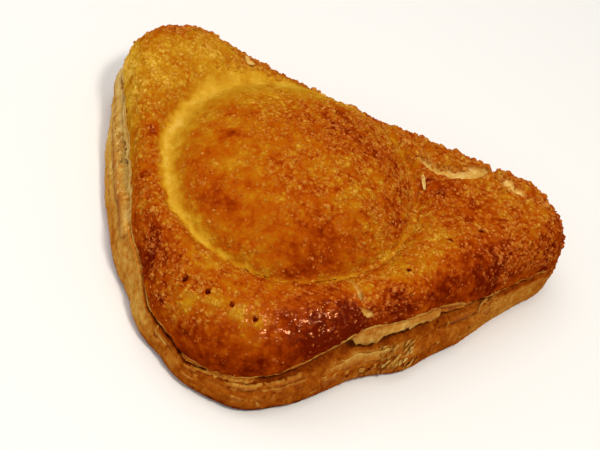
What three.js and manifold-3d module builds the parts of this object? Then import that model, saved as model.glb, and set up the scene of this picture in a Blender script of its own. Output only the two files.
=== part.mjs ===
// A filled puff pastry triangle: a piece of laminated dough folded over a filling, pressed shut with
// a round stamp, pricked with a fork and baked. It is one piece of food, so it is one solid.
// Millimetres, +Z up. The origin is on the resting face, under the centre of the stamped ring.
// +X runs along the fold, and the corner opposite the fold points to -Y.
import * as THREE from 'three';
import { mergeVertices } from 'three/addons/utils/BufferGeometryUtils.js';
import Module from 'manifold-3d';

// The plan: the left, front and right corners before rounding, each with its rounding radius.
// bow is how far the side that follows the corner swells outwards, or inwards if negative.
// Its swellings are local ones: how far along the side, as a share of it, how wide and how far out.
// The two outward ones after the front corner are where the layers burst apart. bulges are the same on
// the rounding of the corner itself.
const CORNERS = [
  {
    x: -71,
    y: 40.5,
    radius: 18.4,
    bow: 4,
    swellings: [
      { along: 0.2, width: 8, out: 0.7 },
      { along: 0.82, width: 8, out: 1.6 },
    ],
    bulges: [],
  },
  {
    x: -0.8,
    y: -85.1,
    radius: 32.4,
    bow: 2.1,
    swellings: [
      { along: 0.19, width: 7, out: -0.8 },
      { along: 0.39, width: 9, out: 1.9 },
      { along: 0.63, width: 9, out: 1.2 },
    ],
    bulges: [
      { along: 0.27, width: 7, out: -1.6 },
      { along: 0.7, width: 7, out: 1.3 },
    ],
  },
  {
    x: 93.3,
    y: 38.9,
    radius: 15.6,
    bow: -1.8,
    swellings: [{ along: 0.85, width: 8, out: -0.6 }],
    bulges: [
      { along: 0.29, width: 7, out: 0.9 },
      { along: 0.7, width: 7, out: -1.2 },
    ],
  },
];

// The filled middle: a dome inside a stamped groove.
const RING_RADIUS = 34.7;
const GROOVE_HEIGHT = 24.5;
const GROOVE_ROUNDING = 0.7;
const DOME_RISE = 13.5;
const DOME_POWER = 3;
const RIM_REACH = 3.6;
const CORNER_SLOPE = 0.05;
const CORNER_SLOPE_START = 46;

// The sides by bearing in degrees about the ring's centre, anticlockwise from +X.
// lip: height of the top leaf's edge. inset: how far that edge stands back from the bottom leaf.
// shoulder: width over which the top rounds down to the lip. rim: rise of the rim over the groove.
// gap: height of the split under the lip. recess: its depth. shred: how far torn dough hangs into it.
// open: 1 at a cut side, 0 at the fold.
const SIDES = [
  { bearing: 2, lip: 15.5, inset: 2.2, shoulder: 9, rim: 4.5, gap: 3, recess: 1.5, shred: 0, open: 1 },
  { bearing: -9, lip: 18.5, inset: 3.9, shoulder: 11, rim: 5, gap: 5, recess: 2.5, shred: 1.5, open: 1 },
  { bearing: -24, lip: 21.5, inset: 5.4, shoulder: 9, rim: 5.5, gap: 8, recess: 5, shred: 3.2, open: 1 },
  { bearing: -38, lip: 21, inset: 4.6, shoulder: 9, rim: 5.5, gap: 9.8, recess: 5.5, shred: 3, open: 1 },
  { bearing: -58, lip: 18.5, inset: 3.5, shoulder: 10, rim: 4.5, gap: 6, recess: 3, shred: 0.8, open: 1 },
  { bearing: -76, lip: 12.5, inset: 3.5, shoulder: 13, rim: 3.5, gap: 2.5, recess: 2, shred: 0, open: 1 },
  { bearing: -92, lip: 9.8, inset: 2.1, shoulder: 15, rim: 3, gap: 1.8, recess: 2, shred: 0, open: 1 },
  { bearing: -110, lip: 11.5, inset: 1.6, shoulder: 13, rim: 3, gap: 1.8, recess: 1.6, shred: 0, open: 1 },
  { bearing: -124, lip: 14, inset: 2.3, shoulder: 10, rim: 3.5, gap: 1.6, recess: 0.9, shred: 0.3, open: 1 },
  { bearing: -138, lip: 16.5, inset: 3, shoulder: 8, rim: 4, gap: 3, recess: 1.5, shred: 1.2, open: 1 },
  { bearing: -160, lip: 18, inset: 4.8, shoulder: 8, rim: 4, gap: 6, recess: 2.5, shred: 3, open: 1 },
  { bearing: -180, lip: 17.5, inset: 3.6, shoulder: 7.5, rim: 4, gap: 5, recess: 2, shred: 2.5, open: 1 },
  { bearing: -196, lip: 17.5, inset: 0.8, shoulder: 8, rim: 4, gap: 3.5, recess: 1.2, shred: 1, open: 0.9 },
  { bearing: -222, lip: 14.5, inset: 0.6, shoulder: 9, rim: 2.8, gap: 2, recess: 0.3, shred: 0, open: 0 },
  { bearing: -270, lip: 15, inset: 0.6, shoulder: 7, rim: 1, gap: 2, recess: 0.3, shred: 0, open: 0 },
  { bearing: -318, lip: 15, inset: 0.6, shoulder: 10, rim: 3.5, gap: 2, recess: 0.3, shred: 0, open: 0 },
  { bearing: -340, lip: 13.5, inset: 1, shoulder: 11, rim: 4.5, gap: 2, recess: 0.6, shred: 0, open: 0.6 },
];

// The wall below the lip, from the lip down to the base. back is the distance in from the plan outline.
// A cut side has the edge of the top leaf, the split behind it, then the ragged ledges of the
// bottom leaf. The fold is plain and round.
const LEAF = 1.7;
const CUT_WALL = [
  (s) => ({ back: s.inset, z: s.lip + s.fray }),
  (s) => ({ back: s.inset + 0.3, z: s.lip - Math.min(LEAF, 0.3 * s.gap) }),
  (s) => ({ back: s.inset + 0.7, z: s.lip - Math.min(LEAF, 0.32 * s.gap) - s.shred }),
  (s) => ({ back: s.inset + s.recess, z: s.lip - 0.4 * s.gap }),
  (s) => ({ back: s.inset + 0.85 * s.recess, z: s.lip - 0.8 * s.gap }),
  (s) => ({ back: 0.65 * s.inset, z: s.lip - s.gap }),
  (s) => ({ back: 0.5 * s.inset, z: 0.8 * (s.lip - s.gap) }),
  (s) => ({ back: 0.15 * s.inset, z: 0.64 * (s.lip - s.gap) }),
  () => ({ back: 0, z: 3 }),
  () => ({ back: 0.5, z: 0.9 }),
  () => ({ back: 2, z: 0 }),
];
const FOLD_WALL = [
  (s) => ({ back: s.inset, z: s.lip }),
  () => ({ back: 0.4, z: 14.1 }),
  () => ({ back: 0.25, z: 13.2 }),
  () => ({ back: 0.12, z: 12.2 }),
  () => ({ back: 0, z: 10.4 }),
  () => ({ back: 0, z: 8.6 }),
  () => ({ back: 0.15, z: 6.8 }),
  () => ({ back: 0.45, z: 4.6 }),
  () => ({ back: 1, z: 2.5 }),
  () => ({ back: 1.9, z: 0.9 }),
  () => ({ back: 3.4, z: 0 }),
];

// Unevenness of the torn edges: waves along the rim, as many as repeats per turn.
const EDGE_WAVES = [
  { repeats: 11, phase: 0.6, size: 0.35 },
  { repeats: 26, phase: 2.1, size: 0.45 },
  { repeats: 43, phase: 4.4, size: 0.35 },
];
const FRAY_REACH = 1.5;

// Broad unevenness of the top, as rounded lumps and hollows.
const LUMPS = [
  { x: 60, y: 14, radius: 14, rise: 1.6 },
  { x: 42, y: 10, radius: 8, rise: -1.3 },
  { x: -46, y: 22, radius: 11, rise: 1.4 },
  { x: 40, y: -22, radius: 8, rise: 0.9 },
  { x: -8, y: 10, radius: 14, rise: -0.8 },
  { x: 12, y: -10, radius: 12, rise: 0.7 },
  { x: 30, y: -29, radius: 4, rise: -0.8 },
];

// Two tears in the crust near the fold, and a slit on the front right rim: plan paths.
const TEARS = [
  { path: [[28.5, 26.8], [34, 24.2], [40.5, 23.3], [46.2, 26.4], [50.2, 32.4]], width: 4.4, depth: 2 },
  { path: [[51.5, 31], [55.5, 28.3], [60.5, 26.4]], width: 3, depth: 1.5 },
  { path: [[25.5, -26.2], [29.5, -28.6], [33.8, -31.4]], width: 1.8, depth: 1.2 },
];

// Fork marks: a row of four tines, and single holes left of others.
const TINE_SPACING = 6.8;
const TINE_RADIUS = 0.95;
const TINE_DEPTH = 3.2;
const PRICKS = [
  ...[0, 1, 2, 3].map((n) => [-12.4 + n * TINE_SPACING, -44.2 - 1.05 * n]),
  [52.5, 7.4],
  [45.7, 0.3],
  [38.4, -15.6],
  [29.4, -28.4],
];

// Fineness of the surface.
const STATIONS_PER_ARC = 17;
const STATIONS_PER_SIDE = 34;
const DOME_ROWS = 9;
const RIM_ROWS = 12;
const BASE_ROWS = 3;
const PRICK_SIDES = 8;

const CRUST_COLOUR = 0xc07a26;

// A rounded bump: 1 at the middle, fading out past its width.
function bump(distance, width) {
  return Math.exp(-((distance / width) ** 2));
}

// A value that changes smoothly round the pastry, from the rows of SIDES: a closed Catmull-Rom curve.
function sideAt(bearing) {
  const rows = SIDES.length;
  const turn = (((SIDES[0].bearing - bearing) % 360) + 360) % 360;
  const drop = (i) => SIDES[0].bearing - SIDES[i % rows].bearing + 360 * Math.floor(i / rows);
  let i = 0;
  while (drop(i + 1) <= turn) i += 1;
  const t = (turn - drop(i)) / (drop(i + 1) - drop(i));
  const side = {};
  for (const key of ['lip', 'inset', 'shoulder', 'rim', 'gap', 'recess', 'shred', 'open']) {
    const [a, b, c, d] = [-1, 0, 1, 2].map((k) => SIDES[(i + k + rows) % rows][key]);
    const bend = b + 0.5 * t * (c - a + t * (2 * a - 5 * b + 4 * c - d + t * (3 * (b - c) + d - a)));
    side[key] = Math.max(0, bend);
  }
  side.open = Math.min(1, side.open);
  return side;
}

// How far out the local swellings of a stretch stand at a share of its length.
function swelling(list, t, length) {
  return list.reduce((sum, s) => sum + s.out * bump((t - s.along) * length, s.width), 0);
}

// The plan outline of the bottom leaf: corner arcs joined by bowed sides. Each point has its outward normal.
function planOutline() {
  const corners = CORNERS.map((c) => ({ ...c, at: new THREE.Vector2(c.x, c.y) }));
  const turns = corners.map((c, i) => {
    const back = corners[(i + 2) % 3].at.clone().sub(c.at).normalize();
    const ahead = corners[(i + 1) % 3].at.clone().sub(c.at).normalize();
    const half = Math.acos(back.dot(ahead)) / 2;
    const inward = back.clone().add(ahead).normalize();
    return {
      centre: c.at.clone().addScaledVector(inward, c.radius / Math.sin(half)),
      start: c.at.clone().addScaledVector(back, c.radius / Math.tan(half)),
      end: c.at.clone().addScaledVector(ahead, c.radius / Math.tan(half)),
    };
  });
  const points = [];
  corners.forEach((corner, i) => {
    const turn = turns[i];
    const from = turn.start.clone().sub(turn.centre).angle();
    const sweep = (turn.end.clone().sub(turn.centre).angle() - from + 2 * Math.PI) % (2 * Math.PI);
    for (let k = 0; k < STATIONS_PER_ARC; k += 1) {
      const t = k / STATIONS_PER_ARC;
      const spoke = new THREE.Vector2(Math.cos(from + sweep * t), Math.sin(from + sweep * t));
      const bulge = Math.sqrt(Math.sin(Math.PI * t)) * swelling(corner.bulges, t, corner.radius * sweep);
      points.push(turn.centre.clone().addScaledVector(spoke, corner.radius + bulge));
    }
    const along = turns[(i + 1) % 3].start.clone().sub(turn.end);
    const length = along.length();
    along.normalize();
    const out = new THREE.Vector2(along.y, -along.x);
    for (let k = 0; k < STATIONS_PER_SIDE; k += 1) {
      const t = k / STATIONS_PER_SIDE;
      const swell = corner.bow * Math.sin(Math.PI * t) ** 1.5 + swelling(corner.swellings, t, length);
      points.push(turn.end.clone().addScaledVector(along, t * length).addScaledVector(out, swell));
    }
  });
  return points.map((at, i) => {
    const step = points[(i + 1) % points.length].clone().sub(points[(i - 1 + points.length) % points.length]);
    return { at, out: new THREE.Vector2(step.y, -step.x).normalize() };
  });
}

// Height of the dome, the groove and the rim, before the edge rounds down.
function crownHeight(x, y, rim) {
  const reach = Math.hypot(x, y);
  const over = reach < RING_RADIUS
    ? DOME_RISE * (1 - (reach / RING_RADIUS) ** DOME_POWER)
    : rim * (1 - Math.exp(-(reach - RING_RADIUS) / RIM_REACH));
  const softened = Math.hypot(over, GROOVE_ROUNDING) - GROOVE_ROUNDING;
  const fall = CORNER_SLOPE * Math.max(0, reach - CORNER_SLOPE_START);
  const lumps = LUMPS.reduce((sum, l) => sum + l.rise * bump(Math.hypot(x - l.x, y - l.y), l.radius), 0);
  return GROOVE_HEIGHT + softened - fall + lumps;
}

// The top at a plan point that lies edge millimetres inside the lip.
function topHeight(x, y, edge, side) {
  const t = Math.min(1, edge / side.shoulder);
  const rise = Math.sqrt(1 - (1 - t) ** 2);
  const low = side.lip + side.fray * Math.exp(-edge / FRAY_REACH);
  return low + (crownHeight(x, y, side.rim) - low) * rise;
}

// Unevenness of an edge at a share of the way round, in millimetres either way.
function edgeWave(turn, shift) {
  const waves = EDGE_WAVES.map((w) => w.size * Math.sin(2 * Math.PI * w.repeats * turn + w.phase * shift));
  return waves.reduce((sum, wave) => sum + wave, 0);
}

// The side at a station, with its lip and split made uneven where it is cut open.
// fray: how far the very edge of the lip stands above or below its smooth height.
function raggedSide(station, turn) {
  const bearing = THREE.MathUtils.radToDeg(Math.atan2(station.at.y, station.at.x));
  const side = sideAt(bearing);
  side.fray = 0.7 * side.open * edgeWave(turn, 1);
  side.inset = Math.max(0.4, side.inset + 0.45 * side.open * edgeWave(turn, 2));
  side.recess = Math.max(0.2, side.recess + 0.8 * side.open * edgeWave(turn, 3));
  side.gap += 0.5 * side.open * edgeWave(turn, 4);
  side.shred *= 1 + 0.7 * edgeWave(turn, 5);
  return side;
}

// How far out the rows of the top lie: over the dome, along the groove, then over the rim to the lip.
// They crowd together beside the groove and towards the lip.
function topReaches(reach) {
  const reaches = [];
  for (let j = 1; j <= DOME_ROWS; j += 1) {
    reaches.push(RING_RADIUS * Math.sin((0.5 * Math.PI * j) / DOME_ROWS));
  }
  for (let j = 1; j < RIM_ROWS; j += 1) {
    reaches.push(RING_RADIUS + 0.5 * (reach - RING_RADIUS) * (1 - Math.cos((Math.PI * j) / RIM_ROWS)));
  }
  return reaches;
}

// One section, from the top of the dome out to the lip, down the wall and back under to the centre.
function section(station, index, stations) {
  const side = raggedSide(station, index / stations.length);
  const wall = CUT_WALL.map((cut, k) => {
    const a = cut(side);
    const b = FOLD_WALL[k](side);
    const back = THREE.MathUtils.lerp(b.back, a.back, side.open);
    const p = station.at.clone().addScaledVector(station.out, -back);
    return new THREE.Vector3(p.x, p.y, THREE.MathUtils.lerp(b.z, a.z, side.open));
  });
  const lip = new THREE.Vector2(wall[0].x, wall[0].y);
  const reach = lip.length();
  const squareness = lip.clone().normalize().dot(station.out);
  const top = topReaches(reach).map((r) => {
    const p = lip.clone().multiplyScalar(r / reach);
    return new THREE.Vector3(p.x, p.y, topHeight(p.x, p.y, (reach - r) * squareness, side));
  });
  const foot = wall[wall.length - 1];
  const base = [];
  for (let j = BASE_ROWS - 1; j > 0; j -= 1) {
    base.push(new THREE.Vector3((foot.x * j) / BASE_ROWS, (foot.y * j) / BASE_ROWS, 0));
  }
  return [...top, ...wall, ...base];
}

// Closed surface through all sections, with a pole at the top and one at the base.
function pastryGeometry() {
  const sections = planOutline().map(section);
  const rows = sections[0].length;
  const positions = sections.flat().flatMap((p) => p.toArray());
  const top = positions.length / 3;
  positions.push(0, 0, crownHeight(0, 0, 0));
  const base = top + 1;
  positions.push(0, 0, 0);
  const index = [];
  sections.forEach((_, i) => {
    const here = i * rows;
    const next = ((i + 1) % sections.length) * rows;
    index.push(top, here, next);
    for (let k = 0; k < rows - 1; k += 1) {
      index.push(here + k, here + k + 1, next + k + 1);
      index.push(here + k, next + k + 1, next + k);
    }
    index.push(here + rows - 1, base, next + rows - 1);
  });
  return new THREE.BufferGeometry()
    .setAttribute('position', new THREE.Float32BufferAttribute(positions, 3))
    .setIndex(index);
}

// The height of the crust over a plan point, found on the finished surface.
function surfaceFinder(geometry) {
  const probe = new THREE.Mesh(geometry, new THREE.MeshBasicMaterial({ side: THREE.DoubleSide }));
  probe.updateMatrixWorld();
  const high = 100;
  return (x, y) => {
    const ray = new THREE.Raycaster(new THREE.Vector3(x, y, high), new THREE.Vector3(0, 0, -1));
    return ray.intersectObject(probe)[0].point.z;
  };
}

// A tapered hole left by one tine, wider at the crust.
function prickGeometry(x, y, height) {
  const above = 1;
  const bottom = 0.5 * TINE_RADIUS;
  return new THREE.CylinderGeometry(TINE_RADIUS, bottom, TINE_DEPTH + above, PRICK_SIDES)
    .rotateX(Math.PI / 2)
    .translate(x, y, height + above - (TINE_DEPTH + above) / 2);
}

// A boat-shaped cutter along a tear: a point at each end, and a keel below the crust.
function tearGeometry({ path, width, depth }, heightAt) {
  const curve = new THREE.CatmullRomCurve3(path.map(([x, y]) => new THREE.Vector3(x, y, 0)));
  const steps = 3 * (path.length - 1);
  const clear = 2.5;
  const positions = [];
  for (let i = 0; i <= steps; i += 1) {
    const t = i / steps;
    const p = curve.getPoint(t);
    const along = curve.getTangent(t);
    const z = heightAt(p.x, p.y);
    const share = Math.max(0.08, Math.sin(Math.PI * t) ** 0.6);
    const wide = (width * share) / 2;
    const across = new THREE.Vector3(-along.y, along.x, 0);
    const left = p.clone().addScaledVector(across, -1.4 * wide).setZ(z + clear);
    const right = p.clone().addScaledVector(across, 1.4 * wide).setZ(z + clear);
    const low = depth * share;
    const keelLeft = p.clone().addScaledVector(across, -0.6 * wide).setZ(z - low);
    const keelRight = p.clone().addScaledVector(across, 0.6 * wide).setZ(z - low);
    for (const q of [left, keelLeft, keelRight, right]) positions.push(...q.toArray());
  }
  const index = [0, 2, 1, 0, 3, 2];
  for (let i = 0; i < steps; i += 1) {
    for (let k = 0; k < 4; k += 1) {
      const [a, b] = [4 * i + k, 4 * i + ((k + 1) % 4)];
      index.push(a, b, b + 4, a, b + 4, a + 4);
    }
  }
  const last = 4 * steps;
  index.push(last, last + 1, last + 2, last, last + 2, last + 3);
  return new THREE.BufferGeometry()
    .setAttribute('position', new THREE.Float32BufferAttribute(positions, 3))
    .setIndex(index);
}

const wasm = await Module();
wasm.setup();

function toSolid(geometry) {
  const bare = geometry.clone();
  bare.deleteAttribute('normal');
  bare.deleteAttribute('uv');
  const merged = mergeVertices(bare, 1e-4);
  return new wasm.Manifold(new wasm.Mesh({
    numProp: 3,
    vertProperties: new Float32Array(merged.attributes.position.array),
    triVerts: new Uint32Array(merged.index.array),
  }));
}

function toGeometry(solid) {
  const { vertProperties, triVerts } = solid.getMesh();
  const geometry = new THREE.BufferGeometry()
    .setAttribute('position', new THREE.BufferAttribute(vertProperties, 3))
    .setIndex(new THREE.BufferAttribute(triVerts, 1));
  geometry.computeVertexNormals();
  return geometry;
}

function makePastry() {
  const whole = pastryGeometry();
  const heightAt = surfaceFinder(whole);
  let solid = toSolid(whole);
  for (const tear of TEARS) solid = solid.subtract(toSolid(tearGeometry(tear, heightAt)));
  for (const [x, y] of PRICKS) solid = solid.subtract(toSolid(prickGeometry(x, y, heightAt(x, y))));
  const material = new THREE.MeshStandardMaterial({ color: CRUST_COLOUR, roughness: 0.45, metalness: 0 });
  const mesh = new THREE.Mesh(toGeometry(solid), material);
  mesh.name = 'pastry';
  return mesh;
}

const root = new THREE.Group();
root.add(makePastry());
export default root;
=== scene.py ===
"""A baked, filled puff pastry: its crust, torn layers, flakes and breadcrumbs, on a plain pale floor.

Lengths are in millimetres unless a name says otherwise. +Z is up, +X runs along the fold, the corner
opposite the fold points to -Y, and the origin is on the resting face under the middle of the stamped ring.
"""

import math

import bmesh
import bpy
import numpy as np
from mathutils import Matrix, Vector, noise


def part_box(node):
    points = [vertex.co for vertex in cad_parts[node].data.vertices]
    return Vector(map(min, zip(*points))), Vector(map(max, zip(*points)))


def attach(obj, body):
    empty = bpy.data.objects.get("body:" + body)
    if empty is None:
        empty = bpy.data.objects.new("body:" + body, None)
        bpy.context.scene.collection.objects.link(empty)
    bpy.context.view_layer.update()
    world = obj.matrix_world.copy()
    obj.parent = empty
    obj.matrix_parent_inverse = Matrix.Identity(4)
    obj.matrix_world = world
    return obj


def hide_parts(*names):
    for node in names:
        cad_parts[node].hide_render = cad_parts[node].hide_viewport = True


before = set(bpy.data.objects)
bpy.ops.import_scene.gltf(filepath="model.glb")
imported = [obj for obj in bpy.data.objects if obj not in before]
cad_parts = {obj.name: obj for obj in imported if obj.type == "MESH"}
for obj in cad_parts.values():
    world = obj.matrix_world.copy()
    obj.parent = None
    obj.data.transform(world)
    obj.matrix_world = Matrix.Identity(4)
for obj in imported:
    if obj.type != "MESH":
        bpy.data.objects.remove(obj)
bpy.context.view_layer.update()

bl_info = {
    "name": "Filled puff pastry",
    "version": (1, 0, 0),
    "blender": (4, 5, 0),
    "location": "3D View > Sidebar > Pastry",
    "description": "Builds the crust, layers, flakes and crumbs of a baked puff pastry",
    "category": "Object",
}

MM = 0.001
NODE = "pastry"
DOME_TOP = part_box(NODE)[1][2] / MM

# The plan: the left, front and right corners before rounding. bow swells the side that follows a corner.
# swellings are local ones on that side: share along it, width, rise. bulges are the same on the rounding.
CORNERS = (
    {"at": (-71, 40.5), "radius": 18.4, "bow": 4, "swellings": ((0.2, 8, 0.7), (0.82, 8, 1.6)), "bulges": ()},
    {
        "at": (-0.8, -85.1),
        "radius": 32.4,
        "bow": 2.1,
        "swellings": ((0.19, 7, -0.8), (0.39, 9, 1.9), (0.63, 9, 1.2)),
        "bulges": ((0.27, 7, -1.6), (0.7, 7, 1.3)),
    },
    {
        "at": (93.3, 38.9),
        "radius": 15.6,
        "bow": -1.8,
        "swellings": ((0.85, 8, -0.6),),
        "bulges": ((0.29, 7, 0.9), (0.7, 7, -1.2)),
    },
)

# How much of a corner's third of the turn its rounding takes, and the steps on each rounding and side
# before they are spaced evenly.
ARC_SHARE = 1 / 3
STRETCH_STEPS = 400

# The filled middle: a dome inside a stamped groove. HEADROOM is left under the top of the CAD model.
# RIM_REACH: how soon the rim has risen outside the groove. CORNER_SLOPE: how steeply the top falls
# beyond CORNER_SLOPE_START. FRAY_REACH: how far in from the lip its fraying lifts the top.
RING_RADIUS = 34.7
GROOVE_HEIGHT = 24.5
HEADROOM = 0.1
DOME_RISE = DOME_TOP - GROOVE_HEIGHT - HEADROOM
RIM_REACH = 3.6
CORNER_SLOPE = 0.05
CORNER_SLOPE_START = 46
FRAY_REACH = 1.2

# The sides by bearing in degrees about the ring's centre.
# lip: height of the top leaf's edge. inset: how far it stands back. shoulder: width of its rounding.
# rim: rise over the groove. gap and recess: height and depth of the split. shred: how far torn dough
# hangs into it. open: 1 if cut, 0 at the fold.
SIDE_KEYS = ("lip", "inset", "shoulder", "rim", "gap", "recess", "shred", "open")
SIDES = (
    (2, 15.5, 2.2, 9, 4.5, 3, 1.5, 0, 1),
    (-9, 18.5, 3.9, 11, 5, 5, 2.5, 1.5, 1),
    (-24, 21.5, 5.4, 9, 5.5, 8, 5, 3.2, 1),
    (-38, 21, 4.6, 9, 5.5, 9.8, 5.5, 3, 1),
    (-58, 18.5, 3.5, 10, 4.5, 6, 3, 0.8, 1),
    (-76, 12.5, 3.5, 13, 3.5, 2.5, 2, 0, 1),
    (-92, 9.8, 2.1, 15, 3, 1.8, 2, 0, 1),
    (-108, 11.2, 1.7, 13, 3, 1.6, 1.5, 0, 1),
    (-124, 14, 2.3, 10, 3.5, 0.4, 0.2, 0.2, 1),
    (-138, 16.5, 3, 8, 4, 1.3, 0.6, 0.8, 1),
    (-160, 18, 4.8, 8, 4, 6, 2.5, 3, 1),
    (-180, 17.5, 3.6, 7.5, 4, 5, 2, 2.5, 1),
    (-196, 17.5, 0.8, 8, 4, 3.5, 1.2, 1, 0.9),
    (-222, 14.5, 0.6, 9, 2.8, 2, 0.3, 0, 0),
    (-270, 15, 0.6, 7, 1, 2, 0.3, 0, 0),
    (-318, 15, 0.6, 10, 3.5, 2, 0.3, 0, 0),
    (-340, 13.5, 1, 11, 4.5, 2, 0.6, 0, 0.6),
)

# The stamped groove by bearing. ring: its radius. valley: width of its floor. fill: how much shallower
# it is. power: how steeply the dome rises from it. inner, outer and pale: where and how much the dough
# stayed pale in it.
GROOVE_KEYS = ("ring", "valley", "fill", "power", "inner", "outer", "pale")
GROOVE = (
    (20, 34.8, 1.2, 1, 2.9, 34.2, 35.4, 0.3),
    (2, 34.8, 1.1, 1.1, 3, 33.8, 36.4, 0.4),
    (-21, 34.3, 1, 0.8, 3, 33.2, 35.2, 0.55),
    (-44, 33.2, 0.9, 0.2, 3, 32.2, 33.8, 0.55),
    (-70, 33.6, 0.8, 0, 3, 32.8, 34.2, 0.6),
    (-95, 34.1, 0.9, 0, 3, 32.8, 34.6, 0.7),
    (-112, 33.9, 1.5, 0, 2.9, 31.6, 34.8, 0.85),
    (-132, 34.2, 2.5, 0, 2.8, 31, 35.4, 0.86),
    (-163, 34.6, 3.2, 0, 2.6, 29.6, 36.4, 1),
    (-180, 34.7, 3.3, 0, 2.5, 29, 37, 1),
    (-200, 34.7, 3.3, 0, 2.4, 28.4, 37.8, 0.95),
    (-222, 34.7, 3, 0, 2.2, 25.6, 39.5, 0.85),
    (-241, 34.6, 2.6, 0.2, 2.1, 25, 37.5, 0.8),
    (-264, 34.4, 2, 0.4, 2.1, 24.6, 35, 0.75),
    (-293, 34.2, 1, 0.6, 2.3, 32.4, 34.4, 0.5),
    (-312, 34.6, 0.8, 0.8, 2.6, 33.8, 35, 0.6),
    (-323, 34.7, 0.8, 0.9, 2.8, 34, 35.4, 0.55),
)

# The wall from the lip to the base, as (distance in from the outline, height): where it is cut open, and
# at the fold. LEAF is the greatest thickness of the top leaf's edge.
LEAF = 1.7
CUT_WALL = (
    lambda s: (s["inset"], s["lip"] + s["fray"]),
    lambda s: (s["inset"] + 0.3, s["lip"] - np.minimum(LEAF, 0.3 * s["gap"])),
    lambda s: (s["inset"] + 0.7, s["lip"] - np.minimum(LEAF, 0.32 * s["gap"]) - s["shred"]),
    lambda s: (s["inset"] + s["recess"], s["lip"] - 0.4 * s["gap"]),
    lambda s: (s["inset"] + 0.85 * s["recess"], s["lip"] - 0.8 * s["gap"]),
    lambda s: (0.65 * s["inset"], s["lip"] - s["gap"]),
    lambda s: (0.5 * s["inset"], 0.8 * (s["lip"] - s["gap"])),
    lambda s: (0.15 * s["inset"], 0.64 * (s["lip"] - s["gap"])),
    lambda s: (0, 3),
    lambda s: (0.5, 0.9),
    lambda s: (2, 0),
)
FOLD_WALL = (
    lambda s: (s["inset"], s["lip"]),
    lambda s: (0.4, 14.1),
    lambda s: (0.25, 13.2),
    lambda s: (0.12, 12.2),
    lambda s: (0, 10.4),
    lambda s: (0, 8.6),
    lambda s: (0.15, 6.8),
    lambda s: (0.45, 4.6),
    lambda s: (1, 2.5),
    lambda s: (1.9, 0.9),
    lambda s: (3.4, 0),
)

# Which corner point is the bottom leaf's upper edge, and the steps from each corner point to the next.
LEDGE = 5
WALL_ROWS = (3, 3, 4, 4, 4, 4, 4, 5, 3, 2)

# Small rings take one in so many stations: on the dome up to a share of the stamped ring's radius, and
# on the base at a share of the foot.
THINNING = ((0.06, 32), (0.12, 16), (0.25, 8), (0.5, 4), (1.001, 2))
BASE_RINGS = ((0.96, 2), (0.88, 4), (0.74, 8), (0.5, 16), (0.25, 32))

# Distance from the edge that the dome's pole is given, the relief of the base, and the least height.
POLE_EDGE = 40.0
BASE_RELIEF = 0.35
LEAST_HEIGHT = 0.02

# Waves of the torn edges: repeats per turn, phase and size.
EDGE_WAVES = ((11, 0.6, 0.35), (26, 2.1, 0.45), (43, 4.4, 0.35))

# How uneven the values of a torn side are: share of the waves, share of the tatters, size of the tatters.
# Their order gives each its own waves and tatters.
UNEVEN = {
    "fray": (0.5, 0.5, 2.2),
    "inset": (0.25, 0.3, 1.8),
    "recess": (0.8, 1, 3),
    "gap": (0.5, 0.8, 2.6),
    "shred": (0.7, 0.4, 2.4),
}

# Broad lumps and hollows of the top: x, y, radius, rise.
LUMPS = (
    (60, 14, 14, 1.6),
    (42, 10, 8, -1.3),
    (-46, 22, 11, 1.4),
    (40, -22, 8, 0.9),
    (-8, 10, 14, -0.8),
    (12, -10, 12, 0.7),
    (30, -29, 4, -0.8),
)

# Tears in the crust: plan path, width, depth, how brown the dough is inside.
TEARS = (
    (((29, 24.8), (34.5, 22.9), (40.5, 23.6), (45.5, 27), (49, 32), (51.3, 38)), 5.2, 1.6, 0.18),
    (((51.5, 31), (55.5, 28.3), (60.5, 26.4)), 4.4, 1.3, 0.14),
    (((25.4, -24.4), (28.4, -27.2), (30.6, -29.4)), 1.9, 0.8, 0.22),
    (((30.8, -31.2), (32.6, -31.0), (34.6, -29.8)), 1.4, 0.5, 0.3),
)

# Fork marks: a row of four tines, and single holes left of others. The mesh is finer within PRICK_REACH.
FIRST_TINE = (-12.4, -44.2)
TINE_SPACING = 6.8
TINE_FALL = 1.05
PRICK_RADIUS = 0.72
PRICK_DEPTH = 1.6
PRICK_REACH = 1.7
PRICKS = tuple((FIRST_TINE[0] + n * TINE_SPACING, FIRST_TINE[1] - n * TINE_FALL) for n in range(4)) + (
    (52.5, 7.4),
    (45.7, 0.3),
    (38.4, -15.6),
    (29.4, -28.4),
)

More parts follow.
